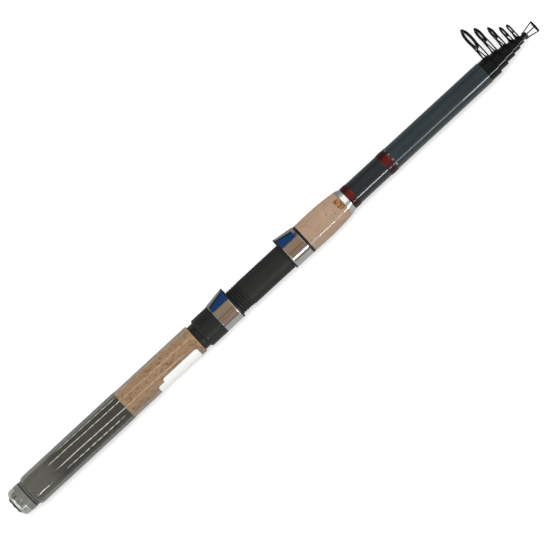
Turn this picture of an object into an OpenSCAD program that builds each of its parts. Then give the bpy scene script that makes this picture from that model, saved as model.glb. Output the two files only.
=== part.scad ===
// Telescopic fishing rod, collapsed, lying along X with its tip at +X and its line guides towards +Y.
// The origin is on the rod's axis, where the straight part of the rear grip begins.

/* [Blank and sections] */
// Length of the butt blank
blank_len = 495.8; // [460:0.1:540]
// Outer diameter of the butt blank at its front end
blank_tip_d = 19.6; // [17:0.1:23]
// Growth of the blank's radius per millimetre towards the butt
blank_taper = 0.0012; // [0.0008:0.0001:0.002]
// Diameter of the thinnest section at its tip
last_tip_d = 2.8; // [2:0.1:3.4]
// Wall of the tubes
tube_wall = 0.8; // [0.6:0.05:1]
// How far each sleeve overhangs the bore that it stops against
stop_lip = 0.3; // [0.2:0.05:0.5]
// Length of the taper that locks two sections when the rod is drawn out
lock_len = 90; // [60:1:120]
// Radial play left in the locked taper
lock_gap = 0.05; // [0.03:0.01:0.1]
// Play between a sleeve and the end that it stops against
stop_gap = 0.1; // [0.05:0.05:0.3]
// Space between the inner ends of the sections and the pad of the butt plug
nest_gap = 0.3; // [0.2:0.1:2]
// Gap filled by glue between bonded pieces
glue_gap = 0.05; // [0.02:0.01:0.1]

/* [Rear grip] */
// Length of the straight foam grip
foam_len = 100.5; // [80:0.5:140]
// Thickness of the foam over the blank's butt end
foam_wall = 3.1; // [2.5:0.1:6]
// Rounding of the foam's rear edge
foam_edge = 2; // [1:0.1:2.4]
// Length of the rear cork grip
cork_len = 78.5; // [60:0.5:120]
// Thickness of the cork over the blank's butt end
cork_wall = 2.7; // [2:0.1:6]
// Rounding of the cork's edges
cork_edge = 0.8; // [0.4:0.1:1.5]
// Length of the collar in front of the cork
collar_len = 5.4; // [3:0.1:10]
// Thickness of the collar over the blank's butt end
collar_wall = 1.2; // [1:0.1:2]

/* [Reel seat] */
// Length of the threaded rear part of the seat
thread_len = 48.6; // [44:0.1:60]
// Thickness of the seat at the thread's crests
thread_wall = 0.95; // [0.9:0.05:1.4]
// Length of the smooth barrel, up to the fixed hood's end
barrel_len = 62.4; // [55:0.1:80]
// Step from the thread's crests up to the barrel
barrel_step = 0.35; // [0.2:0.05:0.6]
// Depth of the flat on which the reel foot sits
saddle_cut = 0.5; // [0.3:0.05:0.8]
// How much lower the flat lies where the hoods stand over it
saddle_step = 0.1; // [0.05:0.05:0.15]
// Distance of the reel foot's flat from the hoods' mouths
saddle_gap = 0.5; // [0.3:0.1:1]
// Width of the keyway that keeps the sliding hood straight
key_w = 3; // [2:0.1:5]
// Depth of the keyway below the thread's crests
key_depth = 0.6; // [0.4:0.05:0.7]
// Play of the key in its keyway
key_gap = 0.2; // [0.1:0.05:0.3]
// Length of the lock nut
nut_len = 17.6; // [12:0.1:20]
// Wall of the lock nut over the thread
nut_wall = 1.95; // [1.6:0.05:3]
// Chamfer on the nut's rear edge
nut_chamfer = 1.2; // [0.6:0.1:1.6]
// Number of finger grooves in the lock nut
nut_grooves = 6; // [4:1:10]
// Width of a finger groove
nut_groove_w = 2.2; // [1:0.1:3]
// Depth of a finger groove
nut_groove_depth = 0.5; // [0.3:0.05:0.8]
// Length of a hood
hood_len = 18.5; // [14:0.1:24]
// Play between the lock nut, the sliding hood and the collar
hood_gap = 0.1; // [0.05:0.05:0.3]
// Running play of the nut and the sliding hood on the seat
slip = 0.05; // [0.02:0.01:0.1]
// Wall of the black liner in a hood
liner_wall = 0.85; // [0.6:0.05:1.2]
// Width of the liner's rim that shows at a hood's mouth
liner_rim = 1.4; // [0.8:0.1:2.4]
// Wall of the polished shell over the liner
shell_wall = 0.6; // [0.4:0.05:1]
// Rise of the flare over the round part at a hood's mouth
flare_mouth = 3.3; // [1.5:0.1:4]
// Rise of the flare at a hood's closed end
flare_back = 0.7; // [0.2:0.1:1]
// How much smaller the flare's crown radius is than the hood's
flare_narrow = 3.2; // [2:0.1:5]
// Thickness of the wall behind a hood's pocket
pocket_back = 3; // [2:0.1:5]

/* [Foregrip] */
// Width of the black ring behind the foregrip
ring_len = 2.3; // [1.5:0.1:4]
// Length of the foregrip
foregrip_len = 41.1; // [30:0.1:60]
// Thickness of the foregrip over the blank at its front end
foregrip_front_wall = 1.7; // [0.8:0.1:3]
// Swell of the foregrip at its middle
foregrip_swell = 0.25; // [0:0.05:1]
// Length of the winding check
check_len = 5.2; // [3:0.1:8]
// Thickness of the winding check's front edge
check_edge = 0.3; // [0.2:0.05:0.6]
// Width of the rear red wrap
rear_wrap_len = 6.4; // [4:0.1:10]
// Width of the front red wrap
front_wrap_len = 7.5; // [4:0.1:10]
// Bare length of blank between the two wraps
wrap_span = 33; // [20:0.5:50]
// Width of the silver trim band
trim_len = 2; // [1:0.1:4]
// Thickness of the wraps
wrap_wall = 0.2; // [0.1:0.05:0.4]

/* [Butt cap] */
// Length of the butt cap
cap_len = 12.6; // [10:0.1:18]
// How far the cap stands over the blank's butt end
cap_wall = 1.75; // [1.2:0.05:2.6]
// Rounding of the cap's end
cap_round = 4.5; // [3:0.1:6]
// Rounding of the cap's front edge
cap_edge = 0.4; // [0.2:0.1:1]
// Number of flutes around the cap
cap_flutes = 12; // [8:1:20]
// Depth of a flute
flute_depth = 0.45; // [0.3:0.05:0.8]
// Radius of a flute
flute_r = 5; // [3:0.1:8]
// Length of the smooth band in front of the flutes
cap_band = 5.2; // [3:0.1:6]
// Radius of the rubber pad in the cap's end
pad_r = 7.4; // [4:0.1:7.4]
// How far the rubber pad stands out of the cap
pad_proud = 1; // [0.3:0.1:1.2]
// Depth of the recess that holds the rubber pad
pad_recess = 1.2; // [0.8:0.1:2]
// Radius of the nubs on the rubber pad
nub_r = 0.8; // [0.5:0.1:1.2]
// Number of nubs around the rubber pad
nub_count = 6; // [4:1:10]
// Thickness of the ferrule's flange
flange_len = 2.4; // [1.6:0.1:4]
// How far the flange stands over the blank's bore
flange_lip = 2.3; // [0.6:0.1:2.4]
// Length of the ferrule inside the blank
ferrule_len = 16; // [10:0.5:24]
// Wall of the ferrule
ferrule_wall = 1.9; // [1.2:0.1:2.5]
// Thickness of the gasket
gasket_len = 0.8; // [0.5:0.1:1.5]
// Length of the plug held inside the cap
plug_root = 8; // [5:0.5:8.5]
// Thickness of the foam pad on the plug
plug_pad_len = 3; // [1:0.5:6]

/* [Guides] */
// Lengths of the sleeves from the largest to the tip tube
sleeve_lens = [10.6, 8.5, 8.5, 7, 5.5, 5.6]; // [4:0.1:14]
// Outer diameters of the guides' hoops from the largest on
loop_ds = [21.8, 15.8, 13, 11.4, 10]; // [9:0.1:26]
// Heights of the hoops' circles above their sleeves
loop_lifts = [7.4, 8.4, 5.7, 2.4, 2.9]; // [2:0.1:10]
// Radii of the ceramic rings' sections
ring_tubes = [1.25, 1.15, 1, 0.8, 0.6]; // [0.5:0.05:1.4]
// Radius of the loop wire
wire_r = 0.58; // [0.4:0.01:0.65]
// Radius of the braces and of the tip-top's wires
leg_r = 0.5; // [0.3:0.01:0.55]
// Distance of a guide's plane behind its sleeve's front end
guide_setback = 1.5; // [1:0.1:2.5]
// Turn of a guide's frame about the line from the axis to its ring
guide_turn = 8; // [0:1:12]
// Depth to which the wire lies in the ring's groove
ring_groove = 0.35; // [0.2:0.05:0.45]
// Outer diameter of the tip-top's loop
tip_loop_d = 10.6; // [9.6:0.1:12]
// Reach of the tip-top's wires in front of its tube
tip_reach = 8.8; // [6:0.1:12]
// Radius of the tip ring's section
tip_ring_tube = 0.65; // [0.5:0.05:0.8]
// Number of wires that carry the tip ring
tip_wires = 4; // [3:1:5]
// Length of those wires that lies along the tip tube
tip_foot = 3; // [2:0.1:4]
// Radius of the bend at the top of a guide's brace
crown_r = 1; // [0.8:0.05:1.2]

/* [Hidden] */
$fn = 96;

// Cut tools run past the faces that they cut by this much
cut = 1;
// Facets around the flared hoods and thickness of the discs that shape them
hood_fn = 32;
disc = 0.01;
// Facets around a wire, steps of its bends and of its feet, and the angle that a foot covers
wire_sides = 8;
bend_steps = 10;
foot_steps = 2;
foot_angle = 12;
// Steps along the foregrip's curved outline
grip_steps = 14;
// Share of the foregrip's taper that stays for its front third
grip_power = 3;

black = [0.06, 0.06, 0.065];
slate = [0.2, 0.235, 0.26];
cork_tan = [0.76, 0.6, 0.45];
steel = [0.78, 0.78, 0.76];
foam_grey = [0.2, 0.2, 0.19];
wrap_red = [0.5, 0.08, 0.06];

// Places along the axis, from the butt to the tip
rear_x = -foam_edge;
front_1_x = rear_x + blank_len;
cork_x = foam_len;
collar_x = cork_x + cork_len;
seat_x = collar_x + collar_len;
nut_x = seat_x + hood_gap;
hood_x = nut_x + nut_len + hood_gap;
sliding_mouth_x = hood_x + hood_len;
barrel_x = seat_x + thread_len;
ring_x = barrel_x + barrel_len;
fixed_mouth_x = ring_x - hood_len;
foregrip_x = ring_x + ring_len;
check_x = foregrip_x + foregrip_len;
rear_wrap_x = check_x + check_len;
front_wrap_x = rear_wrap_x + rear_wrap_len + wrap_span;
trim_x = front_wrap_x + front_wrap_len;
ferrule_front_x = rear_x + ferrule_len;
flange_x = rear_x - flange_len;
cap_front_x = flange_x - gasket_len;
cap_rear_x = cap_front_x - cap_len;
plug_rear_x = cap_front_x - plug_root;
nest_x = ferrule_front_x + plug_pad_len + nest_gap;

// Radii of section i, where 1 is the butt blank and 7 the thinnest
section_count = 7;
step_r = (blank_tip_d - last_tip_d) / 2 / (section_count - 1);
function tip_r(i) = blank_tip_d / 2 - (i - 1) * step_r;
function tip_bore_r(i) = tip_r(i) - tube_wall;
function front_x(i) = i == 1 ? front_1_x : front_x(i - 1) + sleeve_lens[i - 2];
function back_x(i) = i == 1 ? rear_x : nest_x;
function back_r(i) = i == 1
    ? tip_r(1) + blank_taper * blank_len
    : tip_bore_r(i - 1) + taper(i - 1) * lock_len - lock_gap;
function taper(i) = (back_r(i) - tip_r(i)) / (front_x(i) - back_x(i));
function section_r(i, x) = tip_r(i) + taper(i) * (front_x(i) - x);
function sleeve_r(i) = tip_bore_r(i - 1) + stop_lip;
function sleeve_x(i) = front_x(i - 1) + stop_gap;
function blank_r(x) = section_r(1, x);

// Radii of the handle, built up from the blank's butt end
butt_r = back_r(1);
butt_bore_r = butt_r - tube_wall;
foam_r = butt_r + foam_wall;
cork_r = butt_r + cork_wall;
collar_r = butt_r + collar_wall;
thread_r = butt_r + thread_wall;
barrel_r = thread_r + barrel_step;
nut_r = thread_r + slip + nut_wall;
hood_bore_r = barrel_r + slip;
liner_r = hood_bore_r + liner_wall;
hood_r = liner_r + shell_wall;
flare_r = hood_r - flare_narrow;
saddle_y = barrel_r - saddle_cut;
key_floor_r = thread_r - key_depth;
foregrip_front_r = blank_r(check_x) + foregrip_front_wall;
cap_r = butt_r + cap_wall;
flange_r = butt_bore_r + flange_lip;
ferrule_bore_r = butt_bore_r - ferrule_wall;
plug_r = ferrule_bore_r - slip;

// Guide g sits on section g + 1
function guide_x(g) = front_x(g + 1) - guide_setback;
function loop_r(g) = loop_ds[g - 1] / 2 - wire_r;
function guide_y(g) = sleeve_r(g + 1) + loop_lifts[g - 1] + loop_ds[g - 1] / 2;
tip_x = front_x(section_count);
tip_ring_x = tip_x + tip_reach;
tip_loop_r = tip_loop_d / 2 - wire_r;

// Lays a shape made along Z down along X, starting at x
module along_x(x) {
    translate([x, 0, 0])
        rotate([0, 90, 0])
            children();
}

// Points of a wire in a plane that bends over a circle at height top_y and down onto one around the axis,
// straight between them, and ends in two feet that lie along the lower circle
function bent_wire(top_r, top_y, base_r) =
    let (lean = asin((base_r - top_r) / top_y))
    let (right = concat(
        [for (n = [0 : foot_steps]) arc_point(0, base_r, lean - foot_angle * (1 - n / foot_steps))],
        [for (n = [0 : bend_steps - 1]) arc_point(top_y, top_r, lean + (90 - lean) * n / bend_steps)]
    ))
    concat(
        right,
        [arc_point(top_y, top_r, 90)],
        [for (n = [len(right) - 1 : -1 : 0]) [-right[n][0], right[n][1]]]
    );
function arc_point(y, r, angle) = [r * cos(angle), y + r * sin(angle)];
function unit(v) = v / norm(v);
function path_side(path, n) =
    let (run = unit(path[min(n + 1, len(path) - 1)] - path[max(n - 1, 0)]))
    [-run[1], run[0]];

// Round wire of radius r along the points of a path in the XY plane
module wire_along(path, r) {
    last = len(path) - 1;
    points = [
        for (n = [0 : last])
            let (side = path_side(path, n))
            for (k = [0 : wire_sides - 1])
                let (reach = r * cos(360 * k / wire_sides))
                [path[n][0] + reach * side[0], path[n][1] + reach * side[1], r * sin(360 * k / wire_sides)]
    ];
    sides = [
        for (n = [0 : last - 1])
            for (k = [0 : wire_sides - 1])
                let (a = n * wire_sides + k)
                let (b = n * wire_sides + (k + 1) % wire_sides)
                for (face = [[a, a + wire_sides, b + wire_sides], [a, b + wire_sides, b]])
                    face
    ];
    start_cap = [for (k = [0 : wire_sides - 1]) k];
    end_cap = [for (k = [wire_sides - 1 : -1 : 0]) last * wire_sides + k];
    polyhedron(points = points, faces = concat([start_cap], sides, [end_cap]));
}

// Hole for the blank through a piece that runs from x0 to x1
module blank_hole(x0, x1) {
    along_x(x0 - cut)
        cylinder(r1 = blank_r(x0 - cut) + glue_gap,
                 r2 = blank_r(x1 + cut) + glue_gap,
                 h = x1 - x0 + 2 * cut);
}

// Round sleeve on the blank with its own outer radii
module blank_band(x0, len, r1, r2) {
    difference() {
        along_x(x0)
            cylinder(r1 = r1, r2 = r2, h = len);
        blank_hole(x0, x0 + len);
    }
}

// Revolved bar of radius r and length len with both edges rounded
module rounded_bar(r, len, start_edge, end_edge) {
    rotate_extrude() {
        translate([0, start_edge])
            square([r, len - start_edge - end_edge]);
        square([r - start_edge, len]);
        square([r - end_edge, len]);
        intersection() {
            translate([r - start_edge, start_edge])
                circle(r = start_edge);
            square([r, len]);
        }
        intersection() {
            translate([r - end_edge, len - end_edge])
                circle(r = end_edge);
            square([r, len]);
        }
    }
}

// Tapered tube or rod of a section
module section_tube(i) {
    len = front_x(i) - back_x(i);
    hollow = i < section_count;
    difference() {
        along_x(back_x(i))
            cylinder(r1 = back_r(i), r2 = tip_r(i), h = len);
        if (hollow)
            along_x(back_x(i) - cut)
                cylinder(r1 = back_r(i) - tube_wall + taper(i) * cut,
                         r2 = tip_bore_r(i) - taper(i) * cut,
                         h = len + 2 * cut);
    }
}

module butt_blank() {
    color(slate)
        section_tube(1);
}

module section(i) {
    color(slate)
        section_tube(i);
}

// Threaded insert in the blank's butt end
module butt_ferrule() {
    body_r1 = butt_bore_r - glue_gap;
    body_r2 = section_r(1, ferrule_front_x) - tube_wall - glue_gap;
    color(black)
        difference() {
            union() {
                along_x(rear_x)
                    cylinder(r1 = body_r1, r2 = body_r2, h = ferrule_len);
                along_x(flange_x)
                    cylinder(r = flange_r, h = flange_len);
            }
            along_x(flange_x - cut)
                cylinder(r = ferrule_bore_r, h = flange_len + ferrule_len + 2 * cut);
        }
}

module rear_grip_foam() {
    color(foam_grey)
        difference() {
            along_x(rear_x)
                rounded_bar(foam_r, foam_edge + foam_len, foam_edge, cork_edge / 2);
            blank_hole(rear_x, foam_len);
        }
}

module rear_grip_cork() {
    color(cork_tan)
        difference() {
            along_x(cork_x)
                rounded_bar(cork_r, cork_len, cork_edge / 2, cork_edge);
            blank_hole(cork_x, cork_x + cork_len);
        }
}

module rear_collar() {
    color(black)
        blank_band(collar_x, collar_len, collar_r, collar_r);
}

// Tube of the reel seat: plain thread land, barrel, foot flat and keyway
module seat_body() {
    key_reach = 2 * hood_len + thread_len - nut_len;
    color(black)
        difference() {
            union() {
                along_x(seat_x)
                    cylinder(r = thread_r, h = thread_len);
                along_x(barrel_x)
                    cylinder(r = barrel_r, h = barrel_len);
            }
            blank_hole(seat_x, ring_x);
            flat(sliding_mouth_x, fixed_mouth_x, saddle_y);
            flat(hood_x, sliding_mouth_x + saddle_gap, saddle_y - saddle_step);
            flat(fixed_mouth_x - saddle_gap, ring_x - pocket_back, saddle_y - saddle_step);
            translate([hood_x - cut, -barrel_r - cut, -key_w / 2])
                cube([key_reach, barrel_r + cut - key_floor_r, key_w]);
        }
}

// What a flat at height y takes off the seat between two places along it
module flat(from, to, y) {
    translate([from, y, -barrel_r])
        cube([to - from, barrel_r, 2 * barrel_r]);
}

// Solid form of a hood, drawn in by inset, mouth at z = hood_len and flare towards +Y
module hood_form(inset) {
    hull() {
        cylinder(r = hood_r - inset, h = hood_len, $fn = hood_fn);
        translate([0, hood_r + flare_back - flare_r, 0])
            cylinder(r = flare_r - inset, h = disc, $fn = hood_fn);
        translate([0, hood_r + flare_mouth - flare_r, hood_len - disc])
            cylinder(r = flare_r - inset, h = disc, $fn = hood_fn);
    }
}

// Space for the reel foot between the seat and a hood's flare
module foot_pocket() {
    roof_r = flare_r - shell_wall - liner_wall;
    shift = hood_r - flare_r;
    hull() {
        translate([0, shift + flare_back, pocket_back])
            cylinder(r = roof_r, h = disc, $fn = hood_fn);
        translate([0, shift + flare_mouth, hood_len + cut])
            cylinder(r = roof_r, h = disc, $fn = hood_fn);
    }
}

// Part of a hood between two stations along it
module hood_slice(from, to) {
    reach = 2 * (hood_r + flare_mouth);
    intersection() {
        hood_form(0);
        translate([-reach / 2, -reach / 2, from])
            cube([reach, reach, to - from]);
    }
}

// Polished shell of a hood
module hood_shell() {
    difference() {
        hood_slice(-cut, hood_len - liner_rim);
        hood_form(shell_wall);
    }
}

// Black liner of a hood with its rim at the mouth
module hood_liner(bore_r) {
    difference() {
        union() {
            hood_form(shell_wall);
            hood_slice(hood_len - liner_rim, hood_len + cut);
        }
        translate([0, 0, -cut])
            cylinder(r = bore_r, h = hood_len + 2 * cut);
        foot_pocket();
    }
}

module sliding_hood_shell() {
    color(steel)
        along_x(hood_x)
            hood_shell();
}

// The sliding hood's liner carries the key that runs in the seat's keyway
module sliding_hood_liner() {
    key_top = key_floor_r + key_gap;
    color(black)
        along_x(hood_x) {
            hood_liner(hood_bore_r);
            translate([-key_w / 2 + key_gap, -hood_bore_r - liner_wall / 2, 0])
                cube([key_w - 2 * key_gap, hood_bore_r + liner_wall / 2 - key_top, hood_len]);
        }
}

// The fixed hood is the same pressing, turned to face the sliding one
module face_back() {
    translate([ring_x, 0, 0])
        mirror([1, 0, 0])
            along_x(0)
                children();
}

module fixed_hood_shell() {
    color(steel)
        face_back()
            hood_shell();
}

module fixed_hood_liner() {
    color(black)
        face_back()
            hood_liner(barrel_r + glue_gap);
}

// Knurled nut that drives the sliding hood forward
module lock_nut() {
    groove_len = nut_len - 3 * nut_chamfer;
    color(black)
        difference() {
            along_x(nut_x)
                rotate_extrude()
                    polygon([
                        [thread_r + slip, 0],
                        [nut_r - nut_chamfer, 0],
                        [nut_r, nut_chamfer],
                        [nut_r, nut_len],
                        [thread_r + slip, nut_len]
                    ]);
            along_x(nut_x + 2 * nut_chamfer)
                for (n = [0 : nut_grooves - 1])
                    rotate([0, 0, (n + 0.5) * 360 / nut_grooves])
                        translate([nut_r - nut_groove_depth, -nut_groove_w / 2, 0])
                            cube([nut_groove_depth + cut, nut_groove_w, groove_len]);
        }
}

module foregrip_ring() {
    color(black)
        blank_band(ring_x, ring_len, hood_r, hood_r);
}

// Radius of the foregrip at a share u of its length
function foregrip_r(u) = hood_r + foregrip_swell * sin(180 * u)
    - (hood_r - foregrip_front_r) * pow(u, grip_power);

module foregrip_cork() {
    color(cork_tan)
        difference() {
            along_x(foregrip_x)
                rotate_extrude()
                    polygon(concat(
                        [[0, 0]],
                        [for (n = [0 : grip_steps])
                            let (u = n / grip_steps)
                            [foregrip_r(u), foregrip_len * u]],
                        [[0, foregrip_len]]
                    ));
            blank_hole(foregrip_x, check_x);
        }
}

module winding_check() {
    color(steel)
        blank_band(check_x, check_len, foregrip_front_r, blank_r(rear_wrap_x) + glue_gap + check_edge);
}

module wrap(x0, len, tint) {
    color(tint)
        blank_band(x0, len, blank_r(x0) + glue_gap + wrap_wall, blank_r(x0 + len) + glue_gap + wrap_wall);
}

// Spigot that screws into the ferrule
module butt_plug() {
    color(steel)
        along_x(plug_rear_x)
            cylinder(r = plug_r, h = ferrule_front_x - plug_rear_x);
}

module plug_pad() {
    color(foam_grey)
        along_x(ferrule_front_x)
            cylinder(r = plug_r, h = plug_pad_len);
}

module cap_gasket() {
    color(black)
        along_x(cap_front_x + glue_gap)
            difference() {
                cylinder(r = flange_r, h = gasket_len - 2 * glue_gap);
                translate([0, 0, -cut])
                    cylinder(r = plug_r + glue_gap, h = gasket_len + 2 * cut);
            }
}

// Fluted cap with a round end, a blind bore for the plug and a recess for the rubber pad
module butt_cap() {
    color(steel)
        along_x(cap_rear_x)
            difference() {
                rounded_bar(cap_r, cap_len, cap_round, cap_edge);
                for (n = [0 : cap_flutes - 1])
                    rotate([0, 0, n * 360 / cap_flutes])
                        translate([cap_r - flute_depth + flute_r, 0, -cut])
                            cylinder(r = flute_r, h = cap_len - cap_band + cut);
                translate([0, 0, plug_rear_x - cap_rear_x - glue_gap])
                    cylinder(r = plug_r + slip, h = plug_root + glue_gap + cut);
                translate([0, 0, -cut])
                    cylinder(r = pad_r + glue_gap, h = pad_recess + cut);
            }
}

module cap_end_pad() {
    pad_x = cap_rear_x - pad_proud;
    color(black)
        along_x(pad_x) {
            cylinder(r = pad_r, h = pad_proud + pad_recess - glue_gap);
            sphere(r = nub_r);
            for (n = [0 : nub_count - 1])
                rotate([0, 0, n * 360 / nub_count])
                    translate([pad_r - 2 * nub_r, 0, 0])
                        sphere(r = nub_r);
        }
}

// Black sleeve on a section's front end, which carries a guide
module guide_sleeve(i) {
    x0 = sleeve_x(i);
    len = front_x(i) - x0;
    color(black)
        difference() {
            along_x(x0)
                cylinder(r = sleeve_r(i), h = len);
            along_x(x0 - cut)
                cylinder(r1 = section_r(i, x0 - cut) + glue_gap,
                         r2 = section_r(i, front_x(i) + cut) + glue_gap,
                         h = len + 2 * cut);
        }
}

// Lays a shape made in the XY plane into a guide's turned plane, or a little behind it
module guide_plane(g, behind) {
    translate([guide_x(g) - behind / cos(guide_turn), 0, 0])
        rotate([0, 90 + guide_turn, 0])
            children();
}

// Radius at which a wire's feet lie on a guide's sleeve in its turned plane
function foot_r(g, r) = (sleeve_r(g + 1) + glue_gap + r) / cos(guide_turn);

// Wire that runs over a guide's ring and down to both sides of its sleeve
module guide_hoop(g) {
    color(black)
        guide_plane(g, 0)
            wire_along(bent_wire(loop_r(g), guide_y(g), foot_r(g, wire_r)), wire_r);
}

// Forked wire behind the hoop that holds a guide's ring up from the sleeve
module guide_brace(g) {
    behind = wire_r + glue_gap + leg_r;
    reach = ring_tubes[g - 1] + glue_gap + leg_r;
    under = sqrt(max(0, reach * reach - behind * behind));
    crown_y = guide_y(g) - ring_r(loop_r(g), ring_tubes[g - 1]) - under - crown_r;
    color(black)
        guide_plane(g, behind)
            wire_along(bent_wire(crown_r, crown_y, foot_r(g, leg_r)), leg_r);
}

// Radius to the middle of a ring's section, for a wire loop of radius r
function ring_r(r, tube) = r - wire_r - tube + ring_groove;

// Ceramic ring with a groove around it for the loop wire
module grooved_ring(r, tube) {
    rotate_extrude()
        difference() {
            translate([ring_r(r, tube), 0])
                circle(r = tube);
            translate([r, 0])
                circle(r = wire_r + glue_gap);
        }
}

module guide_ring(g) {
    color(black)
        guide_plane(g, 0)
            translate([0, guide_y(g), 0])
                grooved_ring(loop_r(g), ring_tubes[g - 1]);
}

module tip_tube() {
    guide_sleeve(section_count);
}

// Wires that run along the tip tube and spread to the loop around the tip ring
module tip_frame() {
    wire_y = sleeve_r(section_count) + glue_gap + leg_r;
    loop_back = tip_reach - wire_r - glue_gap;
    spread = [[wire_y, -tip_foot], [wire_y, -leg_r], [wire_y + leg_r / 2, leg_r], [tip_loop_r, loop_back]];
    color(black)
        along_x(tip_x) {
            translate([0, 0, tip_reach])
                rotate_extrude()
                    translate([tip_loop_r, 0])
                        circle(r = wire_r);
            for (n = [0 : tip_wires - 1])
                rotate([0, 0, 90 + n * 360 / tip_wires])
                    rotate([90, 0, 0])
                        wire_along(spread, leg_r);
        }
}

module tip_ring() {
    color(black)
        along_x(tip_ring_x)
            grooved_ring(tip_loop_r, tip_ring_tube);
}

butt_blank();
butt_ferrule();
rear_grip_foam();
rear_grip_cork();
rear_collar();
seat_body();
fixed_hood_shell();
fixed_hood_liner();
foregrip_ring();
foregrip_cork();
winding_check();
wrap(rear_wrap_x, rear_wrap_len, wrap_red);  // rear_wrap
wrap(front_wrap_x, front_wrap_len, wrap_red);  // front_wrap
wrap(trim_x, trim_len, steel);  // trim_band
butt_plug();
plug_pad();
cap_gasket();
butt_cap();
cap_end_pad();
sliding_hood_shell();
sliding_hood_liner();
lock_nut();
for (i = [2 : section_count])
    section(i);
for (g = [1 : 5]) {
    guide_sleeve(g + 1);
    guide_hoop(g);
    guide_brace(g);
    guide_ring(g);
}
tip_tube();
tip_frame();
tip_ring();
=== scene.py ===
"""Dresses the collapsed telescopic fishing rod: finishes, fine forms, studio and camera."""

import logging
import math
from dataclasses import dataclass, field
from enum import Enum
from typing import Any, Callable, Optional, Sequence, Union

import bpy
import numpy as np
from mathutils import Matrix, Vector


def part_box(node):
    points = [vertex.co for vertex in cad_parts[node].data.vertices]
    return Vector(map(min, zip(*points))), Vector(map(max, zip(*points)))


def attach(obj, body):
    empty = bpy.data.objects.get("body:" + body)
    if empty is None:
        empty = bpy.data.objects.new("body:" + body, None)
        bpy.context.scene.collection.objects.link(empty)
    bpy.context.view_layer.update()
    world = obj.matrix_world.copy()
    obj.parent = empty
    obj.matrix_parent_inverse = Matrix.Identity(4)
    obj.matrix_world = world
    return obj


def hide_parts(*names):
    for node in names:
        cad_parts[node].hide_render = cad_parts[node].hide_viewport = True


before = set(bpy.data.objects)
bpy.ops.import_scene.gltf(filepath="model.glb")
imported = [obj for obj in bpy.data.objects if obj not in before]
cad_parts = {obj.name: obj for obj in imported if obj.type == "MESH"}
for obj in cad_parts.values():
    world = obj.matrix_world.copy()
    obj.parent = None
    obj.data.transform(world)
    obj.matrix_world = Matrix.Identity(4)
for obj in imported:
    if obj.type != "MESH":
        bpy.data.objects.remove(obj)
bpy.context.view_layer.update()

LOG = logging.getLogger("rod")
MM = 0.001
TOP = math.pi / 2
Triple = tuple[float, float, float]
Colour = Triple
Outline = Sequence[Triple]
Marks = Optional[dict[str, np.ndarray]]

# Lengths in millimetres, and an angle in degrees
CLEARANCE = 0.05
END_DEPTH = 0.01
FAR = 1e3
CRISP = 38.0

# How a profile's soft corner is drawn: its points, and the most of a side that it takes
SOFT_POINTS = 6
SOFT_SHARE = 0.48


# Shader writing


class Value:
    """A node's output socket, on which Python's operators add Math nodes."""

    def __init__(self, shader: "Shader", socket: bpy.types.NodeSocket) -> None:
        """Keeps the shader that the socket belongs to."""
        self.shader = shader
        self.socket = socket

    def __add__(self, other: "Number") -> "Value":
        """Sum."""
        return self.shader.math("ADD", self, other)

    __radd__ = __add__

    def __sub__(self, other: "Number") -> "Value":
        """Difference."""
        return self.shader.math("SUBTRACT", self, other)

    def __rsub__(self, other: "Number") -> "Value":
        """Difference from a number."""
        return self.shader.math("SUBTRACT", other, self)

    def __mul__(self, other: "Number") -> "Value":
        """Product."""
        return self.shader.math("MULTIPLY", self, other)

    __rmul__ = __mul__

    def __truediv__(self, other: "Number") -> "Value":
        """Quotient."""
        return self.shader.math("DIVIDE", self, other)

    def __abs__(self) -> "Value":
        """Size without sign."""
        return self.shader.math("ABSOLUTE", self, 0.0)

    def rise(self, low: float, high: float) -> "Value":
        """A smooth step from 0 at low to 1 at high; falling where low is above high."""
        inputs = {"Value": self, "From Min": low, "From Max": high}
        return self.shader.node("ShaderNodeMapRange", {"interpolation_type": "SMOOTHSTEP"}, inputs, "Result")

    def within(self, low: float, high: float, soft: float) -> "Value":
        """A mask that is 1 between low and high, with soft edges."""
        return self.rise(low - soft, low + soft) * self.rise(high + soft, high - soft)

    def beside(self, name: str) -> "Value":
        """Another output of the same node."""
        return Value(self.shader, Shader.find(self.socket.node.outputs, name))


Number = Union[Value, float]
Tint = Union[Value, Colour]


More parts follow.
